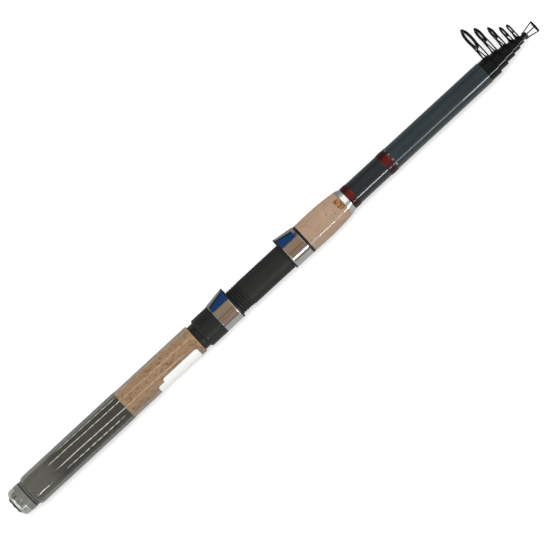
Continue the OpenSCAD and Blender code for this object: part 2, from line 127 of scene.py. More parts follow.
class Shader:
    """A node tree that is being written."""

    def __init__(self, tree: bpy.types.NodeTree) -> None:
        """Empties the tree.

        Args:
            tree: The tree of a material or a world.
        """
        self.tree = tree
        self.tree.nodes.clear()
        self._place: Optional[Value] = None

    @staticmethod
    def find(sockets: Any, key: Union[int, str]) -> bpy.types.NodeSocket:
        """Finds a socket.

        Args:
            sockets: A node's inputs or outputs.
            key: The socket's place, identifier or name.

        Returns:
            The socket.
        """
        if isinstance(key, int):
            return sockets[key]
        for socket in sockets:
            if socket.identifier == key:
                return socket
        return sockets[key]

    def node(
        self,
        kind: str,
        settings: Optional[dict[str, Any]] = None,
        inputs: Optional[dict[Union[int, str], Any]] = None,
        out: Union[int, str] = 0,
    ) -> Value:
        """Adds a node.

        Args:
            kind: The node's type.
            settings: Its settings; stops are a ramp's places and colours.
            inputs: Values or links of its sockets.
            out: The output to hand back.

        Returns:
            That output.
        """
        made = self.tree.nodes.new(kind)
        for key, value in (settings or {}).items():
            if key == "stops":
                elements = made.color_ramp.elements
                while len(elements) < len(value):
                    elements.new(0.5)
                for element, (place, colour) in zip(elements, value):
                    element.position = place
                    element.color = (*colour, 1.0)
            else:
                setattr(made, key, value)
        for key, value in (inputs or {}).items():
            socket = self.find(made.inputs, key)
            if isinstance(value, Value):
                self.tree.links.new(value.socket, socket)
            elif isinstance(value, tuple) and len(value) == 3 and socket.type == "RGBA":
                socket.default_value = (*value, 1.0)
            else:
                socket.default_value = value
        if not made.outputs:
            return Value(self, None)
        return Value(self, self.find(made.outputs, out))

    def math(self, operation: str, a: Number, b: Number) -> Value:
        """A Math node of two values."""
        return self.node("ShaderNodeMath", {"operation": operation}, {0: a, 1: b})

    def mix(self, factor: Number, a: Tint, b: Tint) -> Value:
        """Colour a where factor is 0, and b where it is 1."""
        inputs = {"Factor_Float": factor, "A_Color": a, "B_Color": b}
        return self.node("ShaderNodeMix", {"data_type": "RGBA", "clamp_factor": True}, inputs, "Result_Color")

    def place(self) -> Value:
        """The point in the part's own frame, made once.

        Returns:
            The point in metres.
        """
        if self._place is None:
            self._place = self.node("ShaderNodeTexCoord", out="Object")
        return self._place

    def axes(self) -> tuple[Value, Value, Value]:
        """The point's three coordinates in metres."""
        x = self.node("ShaderNodeSeparateXYZ", None, {0: self.place()}, "X")
        return x, x.beside("Y"), x.beside("Z")

    def turn(self) -> Value:
        """The angle round the rod's axis, from the guides' side over the top."""
        _, y, z = self.axes()
        return self.math("ARCTAN2", z, y)

    def noise(
        self,
        scale: float,
        detail: float = 2.0,
        along: float = 1.0,
        across: float = 1.0,
        rough: float = 0.5,
    ) -> Value:
        """Noise in the part's own frame.

        Args:
            scale: Spots per metre.
            detail: Octaves.
            along: Factor on that along the rod.
            across: Factor on that across the rod.
            rough: Share of each octave.

        Returns:
            A value from 0 to 1.
        """
        scales = (along, across, across)
        spot = self.node("ShaderNodeMapping", None, {"Vector": self.place(), "Scale": scales})
        inputs = {"Vector": spot, "Scale": scale, "Detail": detail, "Roughness": rough}
        return self.node("ShaderNodeTexNoise", None, inputs)

    def cells(self, scale: float) -> Value:
        """Distance to the nearest of scattered points, scale points per metre."""
        return self.node("ShaderNodeTexVoronoi", None, {"Vector": self.place(), "Scale": scale}, "Distance")

    def mark(self, name: str) -> Value:
        """A value stored on the piece's mesh."""
        return self.node("ShaderNodeAttribute", {"attribute_name": name}, None, "Fac")

    def bump(self, height: Value, strength: float, depth: float) -> Value:
        """A normal tilted by a height.

        Args:
            height: The height, where 1 is a full depth.
            strength: Share of the effect.
            depth: Depth in millimetres.

        Returns:
            The normal.
        """
        inputs = {"Strength": strength, "Distance": depth * MM, "Height": height}
        return self.node("ShaderNodeBump", None, inputs, "Normal")

    def principled(self, inputs: dict[Union[int, str], Any]) -> Value:
        """A Principled shader with these sockets."""
        return self.node("ShaderNodeBsdfPrincipled", None, inputs)

    def finish(self, surface: Value) -> None:
        """Ends a material in its surface."""
        self.node("ShaderNodeOutputMaterial", None, {"Surface": surface})


# Finishes


def darkened(colour: Colour, share: float) -> Colour:
    """A colour with each of its values brought down to a share."""
    return colour[0] * share, colour[1] * share, colour[2] * share


@dataclass(frozen=True)
class Finish:
    """What a surface is made of; each kind of finish writes its own nodes."""

    name: str

    def write(self, s: Shader) -> Value:
        """Writes the finish's nodes."""
        raise NotImplementedError

    def material(self) -> bpy.types.Material:
        """The finish as a material, made once.

        Returns:
            The material.
        """
        label = f"{self.name}_finish"
        made = bpy.data.materials.get(label)
        if made is None:
            made = bpy.data.materials.new(label)
            made.use_nodes = True
            shader = Shader(made.node_tree)
            shader.finish(self.write(shader))
        return made


@dataclass(frozen=True)
class Lacquer(Finish):
    """Gloss lacquer over wound carbon, with faint flakes and an optional dark zone."""

    tone: Colour
    shade: Colour
    dark: Colour = (0.012, 0.0145, 0.016)
    flake: Colour = (0.12, 0.14, 0.15)
    zone: tuple[float, float] = (0.0, 0.0)
    zone_edge: float = 0.2

    def write(self, s: Shader) -> Value:
        """Slate lacquer.

        Args:
            s: The shader to write in.

        Returns:
            The surface.
        """
        cloud = s.noise(70.0, 3.0, along=0.35)
        flakes = s.cells(2600.0).rise(0.16, 0.05)
        base = s.mix(cloud.rise(0.3, 0.75), self.tone, self.shade)
        base = s.mix(flakes * 0.3, base, self.flake)
        if self.zone[1] > self.zone[0]:
            x = s.axes()[0]
            inside = x.within(self.zone[0] * MM, self.zone[1] * MM, self.zone_edge * MM)
            base = s.mix(inside * 0.75, base, self.dark)
        peel = s.noise(420.0, 2.0)
        return s.principled(
            {
                "Base Color": base,
                "Roughness": 0.2 + cloud * 0.12,
                "Specular IOR Level": 0.3,
                "Coat Weight": 0.8,
                "Coat Roughness": 0.03,
                "Normal": s.bump(peel, 0.05, 0.03),
            }
        )


@dataclass(frozen=True)
class Cork(Finish):
    """Ground cork: tan grain, brown flecks, dark pits and an optional amber knot."""

    pale: Colour
    mid: Colour
    fleck: Colour
    pit: Colour
    gloss: float = 0.0
    rough: float = 0.62
    busy: float = 1.0
    coat_rough: float = 0.12
    amber: Colour = (0.4, 0.155, 0.03)
    amber_streak: Colour = (0.1, 0.038, 0.01)
    amber_core: Colour = (0.05, 0.02, 0.008)

    def write(self, s: Shader) -> Value:
        """Cork grain.

        Args:
            s: The shader to write in.

        Returns:
            The surface.
        """
        tone = s.noise(55.0, 4.0, along=0.7, rough=0.6)
        blotch = s.noise(340.0, 3.0, along=0.75, rough=0.6)
        grain = s.noise(1500.0, 3.0)
        streak = s.noise(700.0, 3.0, along=0.4)
        base = s.mix(tone.rise(0.25, 0.75), self.pale, self.mid)
        base = s.mix(blotch.rise(0.48, 0.72) * (0.6 * self.busy), base, self.fleck)
        base = s.mix(streak.rise(0.52, 0.74) * (0.5 * self.busy), base, self.fleck)
        base = s.mix(grain.rise(0.55, 0.85) * (0.45 * self.busy), base, self.pit)
        amber = s.mix(streak.rise(0.47, 0.6), self.amber, self.amber_streak)
        amber = s.mix(blotch.rise(0.52, 0.62) * 0.85, amber, self.amber_core)
        knot = (s.mark("knot") * 1.6 + blotch - 1.1).rise(0.0, 0.7)
        base = s.mix(knot * 0.92, base, amber)
        base = s.mix(s.mark("pit").rise(0.15, 0.8) * 0.92, base, self.pit)
        height = grain * 0.35 + blotch * 0.65
        return s.principled(
            {
                "Base Color": base,
                "Roughness": self.rough + (grain - 0.5) * 0.3,
                "Coat Weight": self.gloss,
                "Coat Roughness": self.coat_rough,
                "Normal": s.bump(height, 0.35 * self.busy, 0.18),
            }
        )


@dataclass(frozen=True)
class Foam(Finish):
    """Closed-cell foam with fine pores."""

    tone: Colour
    pore: Colour

    def write(self, s: Shader) -> Value:
        """Foam pores.

        Args:
            s: The shader to write in.

        Returns:
            The surface.
        """
        cloud = s.noise(40.0, 3.0, along=0.5)
        pore = s.cells(1150.0)
        fine = s.noise(3200.0, 2.0)
        base = s.mix(pore.rise(0.32, 0.12) * 0.7, self.tone, self.pore)
        base = s.mix(cloud.rise(0.35, 0.7) * 0.35, base, self.pore)
        return s.principled(
            {
                "Base Color": base,
                "Roughness": 0.82 + fine * 0.15,
                "Specular IOR Level": 0.3,
                "Sheen Weight": 0.08,
                "Normal": s.bump(pore * 0.8 + fine * 0.3, 0.4, 0.15),
            }
        )


@dataclass(frozen=True)
class Moulding(Finish):
    """Moulded plastic or rubber with a fine grain and rubbed patches."""

    tone: Colour
    rubbed: Colour
    rough: float = 0.42
    grain: float = 0.1
    scale: float = 1700.0
    shine: float = 0.5

    def write(self, s: Shader) -> Value:
        """Grained plastic, with painted shade in its marked thread roots.

        Args:
            s: The shader to write in.

        Returns:
            The surface.
        """
        grain = s.noise(self.scale, 2.0)
        wear = s.noise(90.0, 4.0, along=0.6, rough=0.6)
        base = s.mix(wear.rise(0.45, 0.8) * 0.6, self.tone, self.rubbed)
        # Painted shade: the marked thread roots are darkened to a small share of the tone.
        base = s.mix(s.mark("root") * 0.85, base, darkened(self.tone, 0.15))
        return s.principled(
            {
                "Base Color": base,
                "Roughness": self.rough + (wear - 0.5) * 0.16 + (grain - 0.5) * 0.1,
                "Specular IOR Level": self.shine,
                "Normal": s.bump(grain, self.grain, 0.08),
            }
        )


@dataclass(frozen=True)
class Metal(Finish):
    """Turned and polished metal with fine rings and hairline marks."""

    tone: Colour
    rough: float = 0.12
    rings: float = 0.08
    satin_x: float = FAR

    def write(self, s: Shader) -> Value:
        """Polished metal, satin from a place along the rod on.

        Args:
            s: The shader to write in.

        Returns:
            The surface.
        """
        ring = s.noise(5200.0, 2.0, across=0.02)
        smear = s.noise(140.0, 3.0)
        satin = s.axes()[0].rise((self.satin_x - 0.1) * MM, (self.satin_x + 0.1) * MM)
        base = s.mix(smear.rise(0.4, 0.8) * 0.25, self.tone, darkened(self.tone, 0.72))
        base = s.mix(satin, base, darkened(self.tone, 0.36))
        return s.principled(
            {
                "Base Color": base,
                "Metallic": 1.0 - satin * 0.45,
                "Roughness": self.rough + (ring - 0.5) * 0.08 + smear * 0.05 + satin * 0.22,
                "Normal": s.bump(ring, self.rings, 0.02),
            }
        )


@dataclass(frozen=True)
class HoodSteel(Finish):
    """Mirror steel of a hood, with a painted reflection, blue with a near-black stripe, on the flanks of its flare.
    """

    mouth_x: float
    length: float
    painted_reflection_end: float
    tone: Colour = (0.74, 0.73, 0.71)
    blue: Colour = (0.003, 0.027, 0.14)
    pale_blue: Colour = (0.003, 0.035, 0.115)
    black: Colour = (0.009, 0.011, 0.011)
    painted_reflection_start: float = 0.03
    painted_reflection_y: float = 5.9
    blue_y: float = 13.8
    blue_slope: float = 4.5
    black_y: float = 15.1
    black_slope: float = 3.6
    painted_reflection_edge: float = 0.12
    worn_depth: tuple[float, float] = (0.135, 0.115)

    def write(self, s: Shader) -> Value:
        """Steel with a painted reflection on the flare's flanks.

        Args:
            s: The shader to write in.

        Returns:
            The surface.
        """
        x, y, _ = s.axes()
        depth = abs(x - self.mouth_x * MM) / (self.length * MM)
        edge, start = self.painted_reflection_edge * MM, self.painted_reflection_y * MM
        blue_top = self.blue_y * MM - depth * (self.blue_slope * MM)
        black_top = self.black_y * MM - depth * (self.black_slope * MM)
        # Painted reflection: each flank of the flare gets a flat blue field with a near-black stripe above it, in
        # place of mirror steel.
        ends = depth.within(self.painted_reflection_start, self.painted_reflection_end, 0.006)
        painted_reflection = y.rise(start - edge, start + edge) * (y - black_top).rise(edge, -edge) * ends
        blue = painted_reflection * (y - blue_top).rise(edge, -edge)
        hair = s.noise(2600.0, 3.0, along=0.06)
        smear = s.noise(160.0, 3.0)
        worn_rim = depth.rise(*self.worn_depth)
        base = s.mix(smear.rise(0.45, 0.8) * 0.2, self.tone, darkened(self.tone, 0.8))
        painted_reflection_colour = s.mix(blue, self.black, s.mix(smear.rise(0.3, 0.7), self.blue, self.pale_blue))
        return s.principled(
            {
                "Base Color": s.mix(painted_reflection, base, painted_reflection_colour),
                "Metallic": 1.0 - painted_reflection,
                "Roughness": 0.07 + smear * 0.05 + painted_reflection * 0.16 + worn_rim * 0.35,
                "Normal": s.bump(hair, 0.015, 0.02),
            }
        )


@dataclass(frozen=True)
class ThreadWrap(Finish):
    """Dyed thread wound side by side under clear epoxy, with painted light: red in a lit strip along its upper side
    and painted shade round the rest.
    """

    tone: Colour
    shade: Colour
    pitch: float = 0.32
    painted_lit_strip: tuple[float, float] = (1.12, 1.75)
    painted_lit_strip_edge: float = 0.3

    def write(self, s: Shader) -> Value:
        """Wound thread.

        Args:
            s: The shader to write in.

        Returns:
            The surface.
        """
        x = s.axes()[0]
        turn = s.turn()
        lay = s.math("SINE", x * (2 * math.pi / (self.pitch * MM)) + turn, 0.0) * 0.5 + 0.5
        cloud = s.noise(190.0, 3.0)
        base = s.mix(lay.rise(0.1, 0.8), self.shade, self.tone)
        base = s.mix(cloud.rise(0.42, 0.62) * 0.4, base, self.shade)
        # Painted light and shade: the red stays only in a strip along the upper side, and the rest is painted in the
        # shade colour.
        base = s.mix((1.0 - turn.within(*self.painted_lit_strip, self.painted_lit_strip_edge)) * 0.92, base, self.shade)
        return s.principled(
            {
                "Base Color": base,
                "Specular IOR Level": 0.15,
                "Roughness": 0.4 + (1.0 - lay) * 0.2,
                "Coat Weight": 0.5,
                "Coat Roughness": 0.05,
                "Normal": s.bump(lay, 0.25, 0.05),
            }
        )


@dataclass(frozen=True)
class DashedTrim(Finish):
    """Bright metallic thread that shows in dashes between dark stitches."""

    bright: Colour = (0.7, 0.71, 0.7)
    dull: Colour = (0.42, 0.43, 0.42)
    dark: Colour = (0.012, 0.013, 0.014)
    dashes: int = 12
    start_x: float = 0.0
    width: float = 2.0

    def write(self, s: Shader) -> Value:
        """Dashes in one row.

        Args:
            s: The shader to write in.

        Returns:
            The surface.
        """
        x = s.axes()[0]
        along = (x - self.start_x * MM) / (self.width * MM)
        wave = s.math("SINE", s.turn() * float(self.dashes), 0.0)
        dash = wave.rise(0.72, 0.88) * along.within(0.12, 0.88, 0.06)
        fibre = s.noise(4200.0, 2.0, across=0.3)
        return s.principled(
            {
                "Base Color": s.mix(dash, self.dark, s.mix(fibre, self.bright, self.dull)),
                "Metallic": dash * 0.9,
                "Roughness": 0.2 + fibre * 0.25,
                "Coat Weight": 0.8,
                "Coat Roughness": 0.06,
                "Normal": s.bump(dash, 0.3, 0.06),
            }
        )


@dataclass(frozen=True)
class ClearFilm(Finish):
    """Shrunk clear film: see-through, with a skin of reflections and creases painted whitish, partly as haze and
    partly as painted highlight.
    """

    haze: float = 0.02
    gleam: Colour = (0.93, 0.94, 0.95)
    body: Colour = (0.97, 0.97, 0.965)
    crease_haze_and_highlight: Colour = (0.86, 0.82, 0.71)
    warm_crease_haze_and_highlight: Colour = (0.9, 0.64, 0.4)
    warm_x: float = 100.5

    def write(self, s: Shader) -> Value:
        """Film gloss over a clear body, with its creases painted whitish: partly haze, partly painted highlight.

        Args:
            s: The shader to write in.

        Returns:
            The surface.
        """
        crease = s.mark("crease")
        scuff = s.noise(260.0, 3.0, along=0.12).rise(0.52, 0.8)
        glance = s.node("ShaderNodeLayerWeight", None, {"Blend": 0.18}, "Fresnel")
        wave = s.noise(90.0, 2.0, along=0.3)
        gloss = s.principled(
            {
                "Base Color": self.gleam,
                "Metallic": 1.0,
                "Roughness": 0.04 + scuff * 0.08,
                "Normal": s.bump(wave, 0.08, 0.1),
            }
        )
        clear = s.node("ShaderNodeBsdfTransparent", None, {"Color": self.body})
        shown = glance * 0.5 + self.haze + scuff * 0.02
        skin = s.node("ShaderNodeMixShader", None, {"Fac": shown, 1: clear, 2: gloss})
        # Painted highlight: the marked creases are mixed toward a whitish diffuse colour that is partly the film's
        # haze and partly stands in for highlight lines; warmer over the cork.
        warm = s.axes()[0].rise((self.warm_x - 1.0) * MM, (self.warm_x + 1.0) * MM)
        tone = s.mix(warm, self.crease_haze_and_highlight, self.warm_crease_haze_and_highlight)
        white = s.principled({"Base Color": tone, "Roughness": 0.3 + scuff * 0.2})
        return s.node("ShaderNodeMixShader", None, {"Fac": crease * 0.8, 1: skin, 2: white})


@dataclass(frozen=True)
class Paper(Finish):
    """Coated white paper with faint fibres."""

    tone: Colour = (0.97, 0.97, 0.96)
    fleck: Colour = (0.92, 0.92, 0.91)

    def write(self, s: Shader) -> Value:
        """White paper.

        Args:
            s: The shader to write in.

        Returns:
            The surface.
        """
        fibre = s.noise(900.0, 4.0, along=0.4)
        return s.principled(
            {
                "Base Color": s.mix(fibre.rise(0.45, 0.8) * 0.5, self.tone, self.fleck),
                "Roughness": 0.5 + fibre * 0.15,
                "Normal": s.bump(fibre, 0.1, 0.05),
            }
        )


class Finishes:
    """The rod's finishes."""

    BLANK = Lacquer("blank_slate", (0.024, 0.035, 0.042), (0.018, 0.027, 0.034), zone=(350.6, 383.2))
    SECTION = Lacquer("section_slate", (0.018, 0.031, 0.038), (0.012, 0.021, 0.027))
    REAR_CORK = Cork(
        "rear_cork", (0.47, 0.305, 0.18), (0.37, 0.23, 0.13), (0.21, 0.115, 0.055), (0.06, 0.03, 0.013), busy=1.35
    )
    FORE_CORK = Cork(
        "fore_cork",
        (0.46, 0.31, 0.205),
        (0.39, 0.255, 0.165),
        (0.29, 0.175, 0.10),
        (0.11, 0.055, 0.025),
        gloss=0.8,
        rough=0.5,
        busy=0.5,
        coat_rough=0.04,
    )
    FOAM = Foam("grip_foam", (0.072, 0.068, 0.057), (0.034, 0.032, 0.027))
    PAD = Foam("plug_foam", (0.06, 0.06, 0.055), (0.02, 0.02, 0.018))
    SEAT = Moulding(
        "seat_plastic", (0.016, 0.017, 0.0145), (0.023, 0.024, 0.0205), rough=0.52, grain=0.16, shine=0.35
    )
    BLACK = Moulding("black_plastic", (0.009, 0.009, 0.008), (0.016, 0.016, 0.014), rough=0.4)
    FLANGE = Moulding("flange_plastic", (0.09, 0.09, 0.08), (0.16, 0.16, 0.145), rough=0.3)
    NUT = Moulding("nut_plastic", (0.011, 0.0115, 0.010), (0.018, 0.0185, 0.016), rough=0.46, grain=0.12)
    RUBBER = Moulding(
        "black_rubber", (0.006, 0.006, 0.006), (0.012, 0.012, 0.011), rough=0.85, grain=0.25, scale=1100.0, shine=0.1
    )
    SLEEVE = Moulding(
        "sleeve_black", (0.0045, 0.005, 0.005), (0.009, 0.01, 0.01), rough=0.13, grain=0.03, scale=700.0, shine=0.4
    )
    WIRE = Moulding(
        "guide_wire_black",
        (0.004, 0.004, 0.0045),
        (0.009, 0.009, 0.009),
        rough=0.5,
        grain=0.06,
        scale=1500.0,
        shine=0.1,
    )
    CERAMIC = Moulding(
        "guide_ceramic_black",
        (0.006, 0.006, 0.007),
        (0.013, 0.013, 0.014),
        rough=0.3,
        grain=0.03,
        scale=900.0,
        shine=0.25,
    )
    EPOXY = Moulding(
        "foot_epoxy", (0.005, 0.005, 0.005), (0.009, 0.009, 0.009), rough=0.2, grain=0.04, scale=500.0, shine=0.35
    )
    CHECK = Metal("check_alloy", (0.86, 0.86, 0.84), rough=0.1)
    CAP = Metal("cap_alloy", (0.8, 0.81, 0.75), rough=0.14, rings=0.12, satin_x=-10.4)
    PLUG = Metal("plug_alloy", (0.5, 0.5, 0.49), rough=0.3, rings=0.2)
    RED = ThreadWrap("red_thread", (0.27, 0.009, 0.005), (0.02, 0.003, 0.003))
    FILM = ClearFilm("clear_film")
    LABEL = Paper("label_paper")


# Mesh making


@dataclass(frozen=True)
class Span:
    """Where a solid of the part lies, in millimetres."""

    x0: float
    x1: float
    r: float
    y0: float
    y1: float

    @classmethod
    def of(cls, node: str) -> "Span":
        """The span of a named solid at rest."""
        low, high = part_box(node)
        return cls(low.x / MM, high.x / MM, high.z / MM, low.y / MM, high.y / MM)

    @property
    def length(self) -> float:
        """Length along the rod."""
        return self.x1 - self.x0

    @property
    def middle(self) -> float:
        """Middle along the rod."""
        return (self.x0 + self.x1) / 2

    @property
    def lift(self) -> float:
        """Middle across the rod, towards the guides' side."""
        return (self.y0 + self.y1) / 2


def end_radii(node: str, pick: Callable[[np.ndarray], float]) -> tuple[float, float]:
    """A solid's smallest or largest radius at each of its ends.

    Args:
        node: The solid.
        pick: Picks one of an end's radii.

    Returns:
        The radii of the rear and front ends in millimetres.
    """
    points = np.array([v.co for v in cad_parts[node].data.vertices]) / MM
    x, r = points[:, 0], np.hypot(points[:, 1], points[:, 2])
    return float(pick(r[x < x.min() + END_DEPTH])), float(pick(r[x > x.max() - END_DEPTH]))


def wheel(count: int, extra: Sequence[float] = ()) -> np.ndarray:
    """Evenly spaced angles round the axis.

    Args:
        count: How many.
        extra: Further angles in degrees.

    Returns:
        The sorted angles in radians.
    """
    even = np.linspace(0, 2 * np.pi, count, endpoint=False)
    more = np.mod(np.radians(np.asarray(extra, float)), 2 * np.pi)
    return np.unique(np.round(np.concatenate([even, more]), 6))


def outline(corners: Outline, step: float = 5.0, closed: bool = True) -> np.ndarray:
    """A profile with softened corners and divided sides.

    Args:
        corners: Points (x, r, softness) in order, in millimetres.
        step: Longest side before it is divided.
        closed: Whether the profile runs back to its start.

    Returns:
        The profile's points, one a row.
    """
    points: list[np.ndarray] = []
    count = len(corners)
    for n, (x, r, soft) in enumerate(corners):
        here = np.array([x, r])
        if soft <= 0 or (not closed and n in (0, count - 1)):
            points.append(here)
            continue
        before = np.array(corners[n - 1][:2]) - here
        after = np.array(corners[(n + 1) % count][:2]) - here
        a = here + before * min(soft / np.linalg.norm(before), SOFT_SHARE)
        b = here + after * min(soft / np.linalg.norm(after), SOFT_SHARE)
        for t in np.linspace(0, 1, SOFT_POINTS):
            points.append((1 - t) ** 2 * a + 2 * t * (1 - t) * here + t * t * b)
    ends = points + points[:1] if closed else points
    rows: list[np.ndarray] = []
    for a, b in zip(ends, ends[1:]):
        parts = max(1, int(np.ceil(np.linalg.norm(b - a) / step)))
        rows.extend(a + (b - a) * k / parts for k in range(parts))
    if not closed:
        rows.append(points[-1])
    return np.array(rows)


def tube_corners(span: Span, bores: tuple[float, float], soft: tuple[float, float], lip: float = 0.0) -> Outline:
    """The corners of a plain tube's profile.

    Args:
        span: Where the tube lies.
        bores: Radius of its bore at the rear and front ends.
        soft: Softness of its outer edges at the rear and front ends.
        lip: Softness of the bore's front edge.

    Returns:
        The corners.
    """
    return [
        (span.x0, bores[0], 0.0),
        (span.x0, span.r, soft[0]),
        (span.x1, span.r, soft[1]),
        (span.x1, bores[1], lip),
    ]


def grid_faces(rows: int, columns: int, wrap_rows: bool, wrap_columns: bool = True) -> np.ndarray:
    """Quads over a grid of points.

    Args:
        rows: Rows of points.
        columns: Points in a row.
        wrap_rows: Whether the last row joins the first.
        wrap_columns: Whether a row's last point joins its first.

    Returns:
        The quads, one a row.
    """
    i = np.arange(rows if wrap_rows else rows - 1)
    j = np.arange(columns if wrap_columns else columns - 1)
    a, b = np.meshgrid(i, j, indexing="ij")
    a2, b2 = (a + 1) % rows, (b + 1) % columns
    quads = [a * columns + b, a2 * columns + b, a2 * columns + b2, a * columns + b2]
    return np.stack(quads, -1).reshape(-1, 4)


def capped_faces(rows: int, columns: int, start: int = 0) -> list[list[int]]:
    """Faces over rings in a row, with both ends closed flat.

    Args:
        rows: How many rings.
        columns: Points of a ring.
        start: Number of the first point.

    Returns:
        The faces.
    """
    last = start + (rows - 1) * columns
    return [
        *(grid_faces(rows, columns, False) + start).tolist(),
        [start + k for k in range(columns - 1, -1, -1)],
        [last + k for k in range(columns)],
    ]


def make(
    name: str,
    points: np.ndarray,
    faces: Sequence[Sequence[int]],
    marks: Marks = None,
    crisp: float = CRISP,
) -> bpy.types.Object:
    """Makes a mesh object with its faces turned outwards.

    Args:
        name: The piece's name.
        points: Its points in millimetres.
        faces: Its faces.
        marks: Values stored on its points.
        crisp: Angle in degrees above which an edge stays sharp.

    Returns:
        The object.
    """
    faces = [list(map(int, f)) for f in faces]
    fan = np.array([(f[0], f[k], f[k + 1]) for f in faces for k in range(1, len(f) - 1)])
    corners = points[fan]
    volume = np.einsum("ij,ij->i", corners[:, 0], np.cross(corners[:, 1], corners[:, 2])).sum()
    if volume < 0:
        faces = [f[::-1] for f in faces]
    mesh = bpy.data.meshes.new(name)
    mesh.from_pydata((points * MM).tolist(), [], faces)
    mesh.polygons.foreach_set("use_smooth", np.ones(len(faces), bool))
    mesh.set_sharp_from_angle(angle=math.radians(crisp))
    for key, values in (marks or {}).items():
        stored = mesh.attributes.new(key, "FLOAT", "POINT")
        stored.data.foreach_set("value", values.astype(np.float32).ravel())
    mesh.update()
    made = bpy.data.objects.new(name, mesh)
    bpy.context.scene.collection.objects.link(made)
    return made


def turned(
    name: str,
    x: np.ndarray,
    r: np.ndarray,
    angles: np.ndarray,
    marks: Marks = None,
    closed: bool = True,
    crisp: float = CRISP,
) -> bpy.types.Object:
    """A form round the rod's axis, ring by ring.

    Args:
        name: The piece's name.
        x: Place of each ring along the axis, one a ring or one a point.
        r: Radius of each ring, one a ring or one a point.
        angles: The angles of the rings' points.
        marks: Values stored on its points.
        closed: Whether the last ring joins the first, or both ends are closed flat.
        crisp: Angle in degrees above which an edge stays sharp.

    Returns:
        The object.
    """
    shape = (len(x), len(angles))
    x = np.broadcast_to(x if x.ndim == 2 else x[:, None], shape)
    r = np.broadcast_to(r if r.ndim == 2 else r[:, None], shape)
    points = np.stack([x, r * np.cos(angles), r * np.sin(angles)], -1).reshape(-1, 3)
    faces = grid_faces(*shape, True).tolist() if closed else capped_faces(*shape)
    return make(name, points, faces, marks, crisp)


def lathe(
    name: str, corners: Outline, step: float, sides: int, closed: bool = True, crisp: float = CRISP
) -> bpy.types.Object:
    """A plain turned form.

    Args:
        name: The piece's name.
        corners: The corners of its profile.
        step: Longest side of the profile before it is divided.
        sides: Facets round the axis.
        closed: Whether the profile runs back to its start, or both ends are closed flat.
        crisp: Angle in degrees above which an edge stays sharp.

    Returns:
        The object.
    """
    points = outline(corners, step, closed)
    return turned(name, points[:, 0], points[:, 1], wheel(sides), closed=closed, crisp=crisp)


def swept(name: str, paths: Sequence[np.ndarray], radius: float, sides: int = 14) -> bpy.types.Object:
    """Round wires along paths, with domed ends.

    Args:
        name: The piece's name.
        paths: The points of each wire in millimetres.
        radius: The wires' radius.
        sides: Facets around a wire.

    Returns:
        The object.
    """
    points: list[np.ndarray] = []
    faces: list[list[int]] = []
    ring = np.linspace(0, 2 * np.pi, sides, endpoint=False)
    dome = [(math.sin(a), math.cos(a)) for a in np.radians([80, 55, 25])]
    for path in paths:
        runs = np.gradient(path, axis=0)
        runs /= np.linalg.norm(runs, axis=1)[:, None]
        side = np.cross(runs[0], [1.0, 0.31, 0.17])
        rows: list[np.ndarray] = []
        for n, (spot, run) in enumerate(zip(path, runs)):
            side = side - run * side.dot(run)
            side = side / np.linalg.norm(side)
            over = np.cross(run, side)
            disc = np.outer(np.cos(ring), side) + np.outer(np.sin(ring), over)
            if n == 0:
                rows.extend(spot - run * radius * u + disc * radius * v for u, v in dome)
            rows.append(spot + disc * radius)
            if n == len(path) - 1:
                rows.extend(spot + run * radius * u + disc * radius * v for u, v in dome[::-1])
        faces.extend(capped_faces(len(rows), sides, sum(len(p) for p in points)))
        points.extend(rows)
    return make(name, np.concatenate(points), faces)


def blobs(
    name: str, spots: Sequence[tuple[Vector, Vector]], levels: int = 9, sides: int = 18
) -> bpy.types.Object:
    """Rounded beads in one mesh.

    Args:
        name: The piece's name.
        spots: Centre and half sizes of each bead, in millimetres.
        levels: Rings of a bead.
        sides: Points of a ring.

    Returns:
        The object.
    """
    lift = np.radians(np.linspace(-80, 80, levels))
    turn = np.linspace(0, 2 * np.pi, sides, endpoint=False)
    a, b = np.meshgrid(lift, turn, indexing="ij")
    shell = np.stack([np.cos(a) * np.cos(b), np.cos(a) * np.sin(b), np.sin(a)], -1).reshape(-1, 3)
    points: list[np.ndarray] = []
    faces: list[list[int]] = []
    for n, (centre, half) in enumerate(spots):
        points.append(np.array(centre) + shell * np.array(half))
        faces.extend(capped_faces(levels, sides, n * levels * sides))
    return make(name, np.concatenate(points), faces, crisp=75.0)


def smooth(values: np.ndarray, low: float, high: float) -> np.ndarray:
    """A smooth step from 0 at low to 1 at high."""
    t = np.clip((values - low) / (high - low), 0, 1)
    return t * t * (3 - 2 * t)


def ripple(values: np.ndarray, seed: int, longest: float, octaves: int = 4) -> np.ndarray:
    """Seeded waves along a line.

    Args:
        values: Places along the line.
        seed: Seed of the waves.
        longest: Longest wave.
        octaves: How many waves, each about half as long as the last.

    Returns:
        Heights from about -1 to 1.
    """
    rng = np.random.default_rng(seed)
    out = np.zeros_like(values, float)
    for n in range(octaves):
        length = longest / 1.9**n * rng.uniform(0.85, 1.15)
        out = out + 0.6**n * np.sin(2 * np.pi * values / length + rng.uniform(0, 6.28))
    return out / 1.6


def fit(
    piece: bpy.types.Object,
    body: str,
    finish: Finish,
    stands_for: Sequence[str] = (),
) -> None:
    """Gives a new piece its finish and the body that it moves with.

    Args:
        piece: The piece.
        body: The body.
        finish: Its finish.
        stands_for: Solids that it stands for.
    """
    piece.data.materials.clear()
    piece.data.materials.append(finish.material())
    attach(piece, body)
    if stands_for:
        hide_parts(*stands_for)
    LOG.info("%s rides on %s with %s", piece.name, body, finish.name)


def dress(node: str, finish: Finish) -> None:
    """Gives a solid of the part its finish.

    Args:
        node: The solid.
        finish: Its finish.
    """
    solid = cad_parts[node]
    solid.data.materials.clear()
    solid.data.materials.append(finish.material())
    LOG.info("%s keeps its solid, with %s", node, finish.name)


# Sub-assemblies


